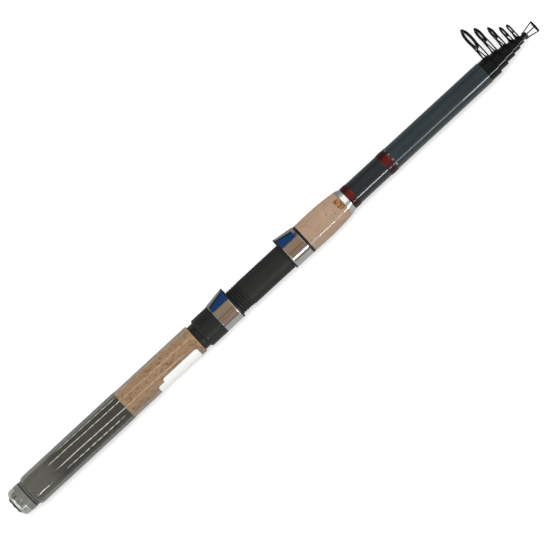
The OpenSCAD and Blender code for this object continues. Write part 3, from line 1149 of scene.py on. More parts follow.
@dataclass
class Butt:
    """The butt's screw cap with its rubber pad, gasket, threaded plug and ferrule."""

    flutes: int = 12
    flute_depth: float = 0.45
    flute_r: float = 5.0
    end_round: float = 4.5
    band: float = 5.2
    recess: float = 1.2
    recess_edge: float = 0.1
    plug_bore: float = 8.05
    edge: float = 0.35
    mouth_edge: float = 0.2
    core_r: float = 0.4
    pad_dent: float = 0.06
    pad_waves: int = 5

    def build(self) -> None:
        """Builds and dresses the butt."""
        self.cap()
        dress("cap_end_pad", Finishes.RUBBER)
        dress("cap_gasket", Finishes.RUBBER)
        dress("butt_plug", Finishes.PLUG)
        dress("butt_ferrule", Finishes.FLANGE)
        self.pad()

    def cap(self) -> None:
        """The fluted cap with softened edges."""
        span = Span.of("butt_cap")
        bore = Span.of("butt_plug").r + CLEARANCE
        recess_r = Span.of("cap_end_pad").r + CLEARANCE
        rear, front, r = span.x0, span.x1, span.r
        arc = [
            (rear + self.end_round * (1 - math.cos(a)), r - self.end_round * (1 - math.sin(a)), 0.0)
            for a in np.radians(np.linspace(0, 90, 16))
        ]
        corners = [
            (rear + self.recess, self.core_r, 0.0),
            (rear + self.recess, recess_r, 0.0),
            (rear, recess_r, self.recess_edge),
            *arc,
            (front, r, self.edge),
            (front, bore, self.mouth_edge),
            (front - self.plug_bore, bore, 0.0),
            (front - self.plug_bore, self.core_r, 0.0),
        ]
        points = outline(corners, 0.5, closed=False)
        x, radius = points[:, 0], points[:, 1:]
        angles = wheel(360)
        pitch = 2 * np.pi / self.flutes
        off = np.mod(angles - TOP + pitch / 2, pitch) - pitch / 2
        reach = r - self.flute_depth + self.flute_r
        side = np.clip(self.flute_r**2 - (reach * np.sin(off)) ** 2, 0, None)
        floor = np.where(side > 0, reach * np.cos(off) - np.sqrt(side), FAR)
        fade = smooth(x, front - self.band - 0.25, front - self.band + 0.1)[:, None]
        fluted = np.minimum(radius, floor) * (1 - fade) + radius * fade
        relief = np.where(radius > recess_r + 0.3, fluted, radius)
        piece = turned("butt_cap_shell", x, relief, angles, closed=False, crisp=30.0)
        fit(piece, "cap", Finishes.CAP, ["butt_cap"])

    def pad(self) -> None:
        """The foam pad on the plug's end."""
        span = Span.of("plug_pad")
        side_r = span.r - CLEARANCE
        corners = [
            (span.x0, self.core_r, 0.0),
            (span.x0, side_r, 0.3),
            (span.x1, side_r, 0.9),
            (span.x1, self.core_r, 0.0),
        ]
        points = outline(corners, 0.6, closed=False)
        x, radius = points[:, :1], points[:, 1:]
        angles = wheel(72)
        dent = self.pad_dent * ripple(x + radius * 0.7, 5, 2.4)
        radius = radius + dent * np.cos(self.pad_waves * angles) * (radius > 1)
        piece = turned("plug_pad_foam", points[:, 0], np.minimum(radius, span.r), angles, closed=False)
        fit(piece, "butt_screw", Finishes.PAD, ["plug_pad"])


@dataclass
class CorkSkin:
    """A cork form round the blank with seeded pits and an optional knot (x, y and half sizes)."""

    name: str
    corners: Outline
    bore: float
    seed: int
    pits: int
    knot: Optional[tuple[float, float, float, float]] = None
    step: float = 0.55
    segments: int = 168
    pit_depth: float = 0.16
    pit_long: tuple[float, float] = (0.3, 1.5)
    pit_wide: tuple[float, float] = (0.25, 0.6)
    pit_tilt: float = 0.5
    pit_share: tuple[float, float] = (0.35, 1.0)
    knot_depth: float = 0.03

    def build(self, node: str, finish: Finish) -> None:
        """Builds the cork.

        Args:
            node: The solid that it stands for.
            finish: Its finish.
        """
        points = outline(self.corners, self.step)
        angles = wheel(self.segments)
        base = points[:, 1:]
        x = np.broadcast_to(points[:, :1], (len(points), len(angles)))
        outside = smooth(base, self.bore + 0.6, self.bore + 1.0)
        depth = self.pitted(x, base, angles)
        knot = np.zeros(x.shape)
        if self.knot:
            knot, hole = self.knotted(x, base, angles)
            depth = np.maximum(depth, hole)
        radius = base - outside * (self.pit_depth * depth + self.knot_depth * knot)
        marks = {"pit": depth * outside, "knot": knot * outside}
        fit(turned(self.name, points[:, 0], radius, angles, marks), "handle", finish, [node])

    def pitted(self, x: np.ndarray, base: np.ndarray, angles: np.ndarray) -> np.ndarray:
        """Open pits scattered over the cork.

        Args:
            x: Places of the points along the rod.
            base: Radii of the smooth form.
            angles: Angles of the points.

        Returns:
            The pits' depth at each point, from 0 to 1.
        """
        rng = np.random.default_rng(self.seed)
        depth = np.zeros(x.shape)
        for _ in range(self.pits):
            px, pa = rng.uniform(x.min(), x.max()), rng.uniform(0, 2 * np.pi)
            long, wide = rng.uniform(*self.pit_long), rng.uniform(*self.pit_wide)
            tilt = rng.uniform(-self.pit_tilt, self.pit_tilt)
            dx = x - px
            da = (np.mod(angles - pa + np.pi, 2 * np.pi) - np.pi) * base.max()
            u = dx * math.cos(tilt) + da * math.sin(tilt)
            v = da * math.cos(tilt) - dx * math.sin(tilt)
            pit = np.exp(-((u / long) ** 2 + (v / wide) ** 2) ** 1.5)
            depth = np.maximum(depth, rng.uniform(*self.pit_share) * pit)
        return depth

    def knotted(self, x: np.ndarray, base: np.ndarray, angles: np.ndarray) -> tuple[np.ndarray, np.ndarray]:
        """The knot on the cork's upper side, with one open hole.

        Args:
            x: Places of the points along the rod.
            base: Radii of the smooth form.
            angles: Angles of the points.

        Returns:
            The knot and its hole at each point, from 0 to 1.
        """
        kx, ky, half_x, half_y = self.knot
        y = base * np.cos(angles)
        upper = np.sin(angles) > 0
        wave = 0.2 * ripple(np.arctan2(y - ky, x - kx), 83, 3.1, 3)
        away = np.hypot((x - kx) / half_x, (y - ky) / half_y) + wave
        spot = np.hypot((x - kx + half_x * 0.35) / 0.75, (y - ky + half_y * 0.55) / 0.6)
        return np.where(upper, smooth(-away, -1.35, -0.6), 0), np.where(upper, np.exp(-(spot**4)), 0)


@dataclass(frozen=True)
class Crease:
    """A lengthwise crease in the film: where it lies round the grip and how far it runs."""

    degrees: float
    start: float
    end: float
    height: float
    rough: float
    seed: int
    twist: float = 0.0


@dataclass(frozen=True)
class Label:
    """A paper label: its ends along the rod, the angles of its edges and its height over the film."""

    name: str
    x0: float
    x1: float
    top: float
    low: float
    lift: float


@dataclass
class RearGrip:
    """Foam and cork of the rear grip under clear film, with a bare paper label."""

    film_gap: float = 0.1
    film_wall: float = 0.06
    film_step: float = 1.35
    crease_w: float = 0.28
    fold_height: float = 0.2
    butt_haze: float = 0.045
    label_wall: float = 0.12
    label_corner: float = 2.2
    label_gap: float = 0.22
    creases: tuple[Crease, ...] = (
        Crease(45.5, 38.0, 99.0, 0.13, 0.7, 11, 3.0),
        Crease(69.0, 25.0, 176.0, 0.15, 0.7, 12, 8.6),
        Crease(98.5, 30.0, 162.0, 0.2, 0.5, 13, 7.0),
        Crease(119.0, 38.0, 92.0, 0.2, 1.2, 14, 3.0),
        Crease(250.0, 10.0, 170.0, 0.15, 0.4, 15),
        Crease(305.0, 20.0, 150.0, 0.15, 0.5, 16),
    )
    labels: tuple[Label, ...] = (
        Label("label_lower", 130.4, 172.6, 127.5, 228.0, 0.0),
        Label("label_upper", 137.3, 174.2, 114.5, 222.0, 0.15),
    )

    @property
    def blank_r(self) -> float:
        """Radius of the blank under the grip."""
        return Span.of("butt_blank").r

    def build(self) -> None:
        """Builds and dresses the grip."""
        self.foam()
        self.cork()
        self.collar()
        self.film()
        for label in self.labels:
            self.label(label)

    def foam(self) -> None:
        """The foam tube, a little uneven as cut foam is."""
        span = Span.of("rear_grip_foam")
        bore = self.blank_r + CLEARANCE
        corners = [
            (span.x0, bore, 0.0),
            (span.x0, span.r - 2.0, 0.8),
            (span.x0 + 0.6, span.r - 0.75, 1.0),
            (span.x0 + 2.4, span.r, 1.4),
            (span.x1, span.r, 0.4),
            (span.x1, bore, 0.0),
        ]
        points = outline(corners, 0.8)
        x, base = points[:, :1], points[:, 1:]
        angles = wheel(144)
        sway = ripple(x + 9 * np.sin(angles), 21, 26.0) + ripple(x * 0.6 + angles * 7, 22, 9.0)
        radius = base - np.where(base > bore + 1, 0.035 * (sway + 1.2), 0)
        piece = turned("rear_grip_foam_tube", points[:, 0], radius, angles)
        fit(piece, "handle", Finishes.FOAM, ["rear_grip_foam"])

    def cork(self) -> None:
        """The rear cork with its open pits."""
        bore = self.blank_r + CLEARANCE
        corners = tube_corners(Span.of("rear_grip_cork"), (bore, bore), (0.3, 0.7))
        skin = CorkSkin("rear_grip_cork_tube", corners, bore, seed=31, pits=150)
        skin.build("rear_grip_cork", Finishes.REAR_CORK)

    def collar(self) -> None:
        """The black collar in front of the cork."""
        bore = self.blank_r - 0.1
        corners = tube_corners(Span.of("rear_collar"), (bore, bore), (0.3, 0.3))
        piece = lathe("rear_collar_ring", corners, 1.5, 128)
        fit(piece, "handle", Finishes.BLACK, ["rear_collar"])

    def film(self) -> None:
        """The shrunk film over foam and cork, with its creases."""
        foam, cork = Span.of("rear_grip_foam"), Span.of("rear_grip_cork")
        lift = self.film_gap
        corners = [
            (foam.x0 + 0.45, foam.r - 0.9, 0.0),
            (foam.x0 + 0.75, foam.r - 0.6, 0.3),
            (foam.x0 + 2.4, foam.r + lift, 1.4),
            (foam.x1, foam.r + lift, 2.0),
            (foam.x1 + 2.5, cork.r + lift, 2.0),
            (cork.x1 - 0.9, cork.r + lift, 0.6),
            (cork.x1 - 0.2, cork.r - 0.25, 0.3),
        ]
        course = outline(corners, self.film_step, closed=False)
        x, base = course[:, 0], course[:, 1:]
        near = [np.arange(-3.6 - c.twist / 2, 3.7 + c.twist / 2, 0.35) for c in self.creases]
        angles = wheel(120, [c.degrees + k for c, steps in zip(self.creases, near) for k in steps])
        swell = np.zeros((len(x), len(angles)))
        for c in self.creases:
            swell = swell + self.ridge(c, x, angles, foam.r)
        outer = base + swell + 0.006 * ripple(course[:, :1] + 12 * np.cos(angles), 61, 24.0)
        on_cork = smooth(x, foam.x1 - 1, foam.x1 + 1)[:, None]
        # The crease mark holds the creases and the hazy butt end, which the film's finish paints whitish as haze and
        # painted highlight.
        crease_haze_and_highlight = np.clip(swell / self.fold_height, 0, 1) * (1 - 0.3 * on_cork)
        crease_haze_and_highlight = np.maximum(crease_haze_and_highlight, self.butt_haze * smooth(-x, -32, -16)[:, None])
        piece = turned(
            "clear_film_skin",
            np.concatenate([x, x[::-1] + 1e-4]),
            np.concatenate([outer, outer[::-1] - self.film_wall]),
            angles,
            {"crease": np.concatenate([crease_haze_and_highlight, crease_haze_and_highlight[::-1]])},
            crisp=60.0,
        )
        fit(piece, "handle", Finishes.FILM)

    def ridge(self, c: Crease, x: np.ndarray, angles: np.ndarray, r: float) -> np.ndarray:
        """One crease's height over the film.

        Args:
            c: The crease.
            x: Places of the rings along the rod.
            angles: Angles of the rings' points.
            r: Radius of the grip.

        Returns:
            Heights, one row for each ring.
        """
        lean = c.twist * ((x - c.start) / (c.end - c.start) - 0.5)
        drift = np.radians(c.degrees + lean + 0.5 * ripple(x, c.seed, 60.0, 2))
        off = (angles[None, :] - drift[:, None]) * r
        run = smooth(x, c.start - 6, c.start + 6) * smooth(-x, -c.end - 6, -c.end + 6)
        flutter = 1 + c.rough * ripple(x, c.seed + 40, 7.0, 4)
        crest = np.exp(-((off / self.crease_w) ** 2)) * np.clip(flutter, 0.1, 2)[:, None]
        return c.height * crest * run[:, None]

    def label(self, label: Label) -> None:
        """A bare paper label that wraps round the cork.

        Args:
            label: The label.
        """
        r = Span.of("rear_grip_cork").r + self.film_gap + self.label_gap + label.lift
        corner = self.label_corner
        arc = np.radians(label.low - label.top) * r
        edge = np.linspace(0, corner, 7)
        down = np.concatenate([edge, np.linspace(corner, arc - corner, 24)[1:-1], arc - edge[::-1]])
        near = np.minimum(down, arc - down)
        drop = np.sqrt(np.clip(corner**2 - (corner - near) ** 2, 0, None))
        pull = np.where(near < corner, corner - drop, 0)
        along = np.linspace(0, 1, 26)
        x = (label.x0 + pull)[:, None] + along * ((label.x1 - label.x0) - 2 * pull)[:, None]
        turn = np.broadcast_to((np.radians(label.top) + down / r)[:, None], x.shape)
        curl = 0.1 * smooth(-near, -2.5, 0)[:, None] + 0.02 * ripple(x + down[:, None], 71, 13.0)
        layers = []
        for height in (self.label_wall, 0.0):
            radius = r + curl + height
            layers.append(np.stack([x, radius * np.cos(turn), radius * np.sin(turn)], -1).reshape(-1, 3))
        rows, columns = x.shape
        face = grid_faces(rows, columns, False, False)
        count = rows * columns
        rim = (
            list(range(columns))
            + [k * columns + columns - 1 for k in range(1, rows)]
            + [(rows - 1) * columns + k for k in range(columns - 2, -1, -1)]
            + [k * columns for k in range(rows - 2, 0, -1)]
        )
        sides = [[a + count, b + count, b, a] for a, b in zip(rim, rim[1:] + rim[:1])]
        faces = face.tolist() + (face[:, ::-1] + count).tolist() + sides
        fit(make(label.name, np.concatenate(layers), faces), "handle", Finishes.LABEL)


class Facing(Enum):
    """Which way a hood's mouth faces along the rod."""

    FORWARD = 1
    BACK = -1


@dataclass
class Hood:
    """A flared hood of the reel seat: polished shell and black liner."""

    prefix: str
    body: str
    facing: Facing
    key_r: float = 0.0
    painted_reflection_end: float = 0.97
    liner_gap: float = CLEARANCE
    shell_wall: float = 0.6
    liner_wall: float = 0.85
    flare_back: float = 0.7
    flare_mouth: float = 3.3
    flare_narrow: float = 3.2
    pocket_back: float = 3.0
    pocket_front: float = 10.0
    edge: float = 0.3
    round_depth: tuple[float, ...] = (0.0, 0.06, 0.16)
    round_inset: tuple[float, ...] = (0.3, 0.16, 0.05)
    key_w: float = 2.6
    span: Span = field(init=False)
    length: float = field(init=False)
    rim_at: float = field(init=False)
    r: float = field(init=False)
    angles: np.ndarray = field(init=False)

    def __post_init__(self) -> None:
        """Takes the hood's sizes from its solids."""
        shell = Span.of(f"{self.prefix}_shell")
        self.span = Span.of(f"{self.prefix}_liner")
        self.length, self.rim_at, self.r = self.span.length, shell.length, shell.r
        side = math.degrees(self.key_w / 2 / self.r)
        self.angles = wheel(216, [180 + k * (side + d) for k in (-1, 1) for d in (0.0, 0.06)])

    def build(self) -> None:
        """Builds and dresses the hood."""
        self.shell()
        self.liner()

    def x_at(self, depth: np.ndarray) -> np.ndarray:
        """Where distances from the hood's closed end lie along the rod.

        Args:
            depth: The distances.

        Returns:
            Their places.
        """
        if self.facing is Facing.FORWARD:
            return self.span.x0 + depth
        return self.span.x1 - depth

    def lean(self) -> np.ndarray:
        """Angles from the flare's side, without sign."""
        return np.abs(np.mod(self.angles + np.pi, 2 * np.pi) - np.pi)[None, :]

    def rise(self, depth: np.ndarray) -> np.ndarray:
        """Rise of the flare at a distance from the closed end."""
        share = np.clip(depth / self.length, 0, 1)
        return self.flare_back + (self.flare_mouth - self.flare_back) * share

    def crown_at(self, crown: Union[float, np.ndarray], centre: np.ndarray) -> tuple[np.ndarray, np.ndarray]:
        """Where the round crown lies over the flare.

        Args:
            crown: Radius of the crown.
            centre: Height of its centre, one row for each distance.

        Returns:
            Radii of the crown round the rod's axis, and how far they rise over its centre.
        """
        under = np.sqrt(np.clip(crown**2 - (centre * np.sin(self.lean())) ** 2, 0, None))
        return centre * np.cos(self.lean()) + under, under

    def form(self, depth: np.ndarray, inset: np.ndarray) -> np.ndarray:
        """Radii of the hood's outline: round below, flat cheeks and a round crown.

        Args:
            depth: Distances from the closed end.
            inset: How far the outline is drawn in.

        Returns:
            Radii, one row for each distance.
        """
        a = self.lean()
        r = (self.r - inset)[:, None]
        crown = (self.r - self.flare_narrow - inset)[:, None]
        centre = (self.flare_narrow + self.rise(depth))[:, None]
        touch = np.arccos(self.flare_narrow / centre)
        tip = np.arctan2(crown * np.sin(touch), centre + crown * np.cos(touch))
        arch, _ = self.crown_at(crown, centre)
        cheek = r / np.cos(np.clip(touch - a, 0, 1.2))
        return np.where(a >= touch, r, np.where(a >= tip, cheek, arch))

    def shell(self) -> None:
        """The polished shell with softened edges."""
        end = self.rim_at
        near, drawn_in = np.array(self.round_depth), np.array(self.round_inset)
        depth = np.concatenate([near, np.linspace(self.edge, end - self.edge, 26), end - near[::-1]])
        inset = np.concatenate([drawn_in, np.zeros(26), drawn_in[::-1]])
        back = np.linspace(end, 0, 8)
        rings = np.concatenate([self.form(depth, inset), self.form(back, np.full(8, self.shell_wall))])
        piece = turned(f"{self.prefix}_polished", self.x_at(np.concatenate([depth, back])), rings, self.angles)
        mouth = self.x_at(np.array([self.length]))[0]
        finish = HoodSteel(f"{self.prefix}_steel", mouth, self.length, self.painted_reflection_end)
        fit(piece, self.body, finish, [f"{self.prefix}_shell"])

    def liner(self) -> None:
        """The black liner with its rim at the mouth and the pocket for the reel foot."""
        rim, end = self.rim_at, self.length
        depth = np.concatenate([np.linspace(0, rim, 10), [rim, rim + 0.1, end - 0.3, end - 0.1, end]])
        inset = np.concatenate([np.full(10, self.shell_wall + 0.01), [0.12, 0.0, 0.0, 0.1, 0.3]])
        bore = Span.of("seat_body").r + self.liner_gap
        inside = np.array([end, rim, self.pocket_front, self.pocket_back, self.pocket_back, 0.0])
        open_here = np.array([1, 1, 1, 1, 0, 0])[:, None]
        roof = self.r - self.flare_narrow - self.shell_wall - self.liner_wall
        arch, under = self.crown_at(roof, (self.flare_narrow + self.rise(inside))[:, None])
        inner = np.maximum(bore, np.where(under > 0, arch, 0) * open_here)
        if self.key_r:
            inner = np.where((np.pi - self.lean()) * self.r < self.key_w / 2 + 0.005, self.key_r, inner)
        x = self.x_at(np.concatenate([depth, inside]))
        rings = np.concatenate([self.form(depth, inset), inner])
        piece = turned(f"{self.prefix}_lining", x, rings, self.angles)
        fit(piece, self.body, Finishes.BLACK, [f"{self.prefix}_liner"])


@dataclass
class ReelSeat:
    """The reel seat: threaded body, lock nut, two hoods and the ring behind the foregrip."""

    pitch: float = 2.5
    thread_len: float = 48.6
    thread_depth: float = 0.6
    thread_flank: tuple[float, float] = (0.13, 0.3)
    run_in: float = 1.0
    run_out: float = 2.2
    saddle_y: float = 11.195
    saddle_step: float = 0.1
    saddle_gap: float = 0.5
    saddle_end: float = 3.0
    key_w: float = 3.0
    key_depth: float = 0.6
    key_lead: float = 1.0
    hood_len: float = 18.5
    nut_len: float = 17.6
    nut_wall: float = 1.95
    nut_grooves: int = 6
    groove_w: float = 2.2
    groove_depth: float = 0.5
    nut_chamfer: float = 1.2

    def build(self) -> None:
        """Builds and dresses the seat."""
        self.seat()
        self.nut()
        Hood("sliding_hood", "hood", Facing.FORWARD, key_r=10.945).build()
        Hood("fixed_hood", "handle", Facing.BACK, painted_reflection_end=0.88).build()
        self.ring()

    def seat(self) -> None:
        """The seat with its cut thread, saddle and keyway."""
        span, hood = Span.of("seat_body"), Span.of("sliding_hood_liner")
        face = (hood.x1 + self.saddle_gap, Span.of("fixed_hood_liner").x0 - self.saddle_gap)
        thread_r = Span.of("lock_nut").r - self.nut_wall - CLEARANCE
        thread_end, flat_end = span.x0 + self.thread_len, span.x1 - self.saddle_end
        places = [
            np.arange(span.x0, thread_end - 0.01, 0.2),
            [face[0] - 0.01, face[0] + 0.01, thread_end, thread_end + 0.12],
            np.linspace(thread_end + 0.4, flat_end - 0.1, 40),
            [face[1] - 0.01, face[1] + 0.01, flat_end, flat_end + 0.02, span.x1],
        ]
        x = np.sort(np.concatenate(places))[:, None]
        key_edge = math.degrees(self.key_w / 2 / thread_r)
        angles = wheel(180, [180 - key_edge, 180 - key_edge - 0.05, 180 + key_edge, 180 + key_edge + 0.05])
        up = np.cos(angles)

        phase = np.mod(x / self.pitch - angles / (2 * np.pi), 1.0)
        ridge = smooth(np.abs(phase - 0.5), *self.thread_flank)
        full = smooth(x, span.x0, span.x0 + self.run_in) * smooth(-x, -thread_end, -thread_end + self.run_out)
        root = (1 - ridge) * np.where(x < thread_end, full, 0)
        r = np.where(x < thread_end + 0.01, thread_r, span.r) - self.thread_depth * root
        r = r + 0.012 * ripple(x + 5 * up, 91, 17.0) * (x > thread_end + 0.2)

        level = self.saddle_y - np.where((x > face[0]) & (x < face[1]), 0.0, self.saddle_step)
        flat = np.where(up > 0.2, level / np.clip(up, 0.2, 1), FAR)
        on_flat = (x > hood.x0) & (x < flat_end + 0.01)
        root = np.where(on_flat & (flat < r), 0, root)
        r = np.where(on_flat, np.minimum(r, flat), r)

        floor = np.where(up < -0.9, (thread_r - self.key_depth) / np.clip(-up, 0.9, 1), FAR)
        key_start = hood.x0 - self.key_lead
        key_end = key_start + 2 * self.hood_len + self.thread_len - self.nut_len
        in_key = (np.abs(np.degrees(angles) - 180) < key_edge + 0.02) & (up < 0)
        r = np.where(in_key & (x > key_start) & (x < key_end), np.minimum(r, floor), r)

        bore = np.full((2, len(angles)), Span.of("butt_blank").r - 0.15)
        # The thread roots go on the mesh as a mark, and the seat's finish paints shade into them.
        piece = turned(
            "seat_threaded_body",
            np.concatenate([x[:, 0], [span.x1, span.x0]]),
            np.concatenate([r, bore]),
            angles,
            {"root": np.concatenate([root, np.zeros(bore.shape)])},
            crisp=32.0,
        )
        fit(piece, "handle", Finishes.SEAT, ["seat_body"])

    def nut(self) -> None:
        """The lock nut with finger grooves and softened edges."""
        span, c = Span.of("lock_nut"), self.nut_chamfer
        bore = span.r - self.nut_wall
        corners = [
            (span.x0, bore, 0.2),
            (span.x0, span.r - c, 0.35),
            (span.x0 + c, span.r, 0.35),
            (span.x1, span.r, 0.3),
            (span.x1, bore, 0.2),
        ]
        points = outline(corners, 0.45)
        x, base = points[:, 0], points[:, 1:]
        angles = wheel(360)
        pitch = 2 * np.pi / self.nut_grooves
        off = np.abs(np.mod(angles + pitch / 2, pitch) - pitch / 2) * span.r
        across = smooth(-off, -self.groove_w / 2 - 0.12, -self.groove_w / 2 + 0.12)
        start, end = span.x0 + 2 * c, span.x1 - c
        along = smooth(x, start - 0.15, start + 0.15) * smooth(-x, -end - 0.15, -end + 0.15)
        deep = np.where(base > bore + 1, along[:, None], 0) * across * self.groove_depth
        piece = turned("lock_nut_grooved", x, base - deep, angles, crisp=40.0)
        fit(piece, "nut", Finishes.NUT, ["lock_nut"])

    def ring(self) -> None:
        """The black ring behind the foregrip."""
        bore = Span.of("butt_blank").r - 0.3
        corners = tube_corners(Span.of("foregrip_ring"), (bore, bore), (0.25, 0.25))
        piece = lathe("foregrip_black_ring", corners, 1.0, 144)
        fit(piece, "handle", Finishes.BLACK, ["foregrip_ring"])


@dataclass
class Foregrip:
    """Cork foregrip, polished winding check, red wraps and dashed trim."""

    swell: float = 0.25
    power: float = 3.0
    blank_tip_r: float = 9.8
    thread_wall: float = 0.05
    thread_pitch: float = 0.32
    wrap_wall: float = 0.15
    wrap_bulge: float = 0.14
    trim_wall: float = 0.17
    sides: int = 144

    def build(self) -> None:
        """Builds and dresses the foregrip."""
        self.cork()
        self.check()
        self.wrap("rear_wrap")
        self.wrap("front_wrap")
        self.trim()

    def blank_r(self, x: float) -> float:
        """Radius of the blank at a place along it."""
        blank = Span.of("butt_blank")
        return self.blank_tip_r + (blank.r - self.blank_tip_r) * (blank.x1 - x) / blank.length

    def cork(self) -> None:
        """The cork foregrip with its knot."""
        span, rear = Span.of("foregrip_cork"), Span.of("foregrip_ring").r
        narrowing = rear - Span.of("winding_check").r
        bore = self.blank_r(span.x0) + CLEARANCE
        side = [
            (
                span.x0 + span.length * u,
                rear + self.swell * math.sin(math.pi * u) - narrowing * u**self.power,
                0.0,
            )
            for u in np.linspace(0, 1, 30)
        ]
        corners = [(span.x0, bore, 0.0), *side, (span.x1, bore - 0.06, 0.0)]
        knot = (336.0, 1.2, 3.2, 6.0)
        skin = CorkSkin("foregrip_cork_tube", corners, bore, seed=37, pits=30, knot=knot, step=0.5)
        skin.build("foregrip_cork", Finishes.FORE_CORK)

    def check(self) -> None:
        """The polished winding check: a rim behind and a cone in front."""
        span = Span.of("winding_check")
        bore = self.blank_r(span.x0) + CLEARANCE
        front = self.blank_r(span.x1) + 0.35
        corners = [
            (span.x0, bore, 0.0),
            (span.x0, span.r, 0.2),
            (span.x0 + 0.7, span.r, 0.25),
            (span.x0 + 1.0, span.r - 0.12, 0.2),
            (span.x1 - 0.5, front + 0.1, 0.4),
            (span.x1, front, 0.2),
            (span.x1, bore - 0.01, 0.0),
        ]
        piece = lathe("winding_check_cone", corners, 0.6, self.sides, crisp=50.0)
        fit(piece, "handle", Finishes.CHECK, ["winding_check"])

    def wound(self, span: Span, rows: int) -> tuple[np.ndarray, np.ndarray, np.ndarray]:
        """Rings of a winding on the blank.

        Args:
            span: Where the winding lies.
            rows: How many rings.

        Returns:
            The rings' places, their shares from -1 to 1 along the winding, and the radii under it.
        """
        along = np.linspace(span.x0, span.x1, rows)
        base = np.array([self.blank_r(v) for v in along]) + CLEARANCE
        return along, np.linspace(-1, 1, rows), base

    def wrap(self, node: str) -> None:
        """A thread wrap whose epoxy swells over the thread.

        Args:
            node: The solid that it stands for.
        """
        along, share, base = self.wound(Span.of(node), 48)
        bulge = (self.wrap_wall + self.wrap_bulge * (1 - share**2)) * np.clip((1 - share**8), 0, 1)
        top = base + self.thread_wall + bulge
        angles = wheel(self.sides)
        coil = 0.012 * np.sin(2 * np.pi * along[:, None] / self.thread_pitch + angles)
        rings = np.concatenate([top[:, None] + coil, np.repeat(base[::-1][:, None], len(angles), 1)])
        piece = turned(f"{node}_thread", np.concatenate([along, along[::-1]]), rings, angles)
        fit(piece, "handle", Finishes.RED, [node])

    def trim(self) -> None:
        """The dashed silver trim in front of the front wrap."""
        span = Span.of("trim_band")
        along, share, base = self.wound(span, 18)
        top = base + self.thread_wall + self.trim_wall * (1 - share**6)
        rings = np.concatenate([top, base[::-1]])
        piece = turned("trim_band_dashes", np.concatenate([along, along[::-1]]), rings, wheel(self.sides))
        finish = DashedTrim("silver_trim", start_x=span.x0, width=span.length)
        fit(piece, "handle", finish, ["trim_band"])


@dataclass
class Sections:
    """The butt blank and the sections nested in it.

    All have the same sides at the same angles, so a section keeps clear of the one round it when its taper locks.
    """

    count: int = 7
    sides: int = 144
    step: float = 12.0
    edge: float = 0.1
    core_r: float = 0.05

    def build(self) -> None:
        """Builds and dresses the blank and the sections."""
        self.tube("butt_blank", "handle", Finishes.BLANK, "blank_lacquer")
        for n in range(2, self.count + 1):
            self.tube(f"section_{n}", f"tube_{n}", Finishes.SECTION, "section_lacquer")

    def tube(self, node: str, body: str, finish: Finish, slot: str) -> None:
        """A tapered tube, or a tapered rod where the solid has no bore.

        Args:
            node: The solid that it stands for.
            body: The body that it moves with.
            finish: Its finish.
            slot: Name of its material slot; not used.
        """
        span, bores, sides = Span.of(node), end_radii(node, np.min), end_radii(node, np.max)
        hollow = sides[0] - bores[0] > self.edge
        inner = bores if hollow else (self.core_r, self.core_r)
        corners = [
            (span.x0, inner[0], 0.0),
            (span.x0, sides[0], self.edge),
            (span.x1, sides[1], self.edge),
            (span.x1, inner[1], 0.0),
        ]
        piece = lathe(f"{node}_tube", corners, self.step, self.sides, closed=hollow)
        fit(piece, body, finish, [node])


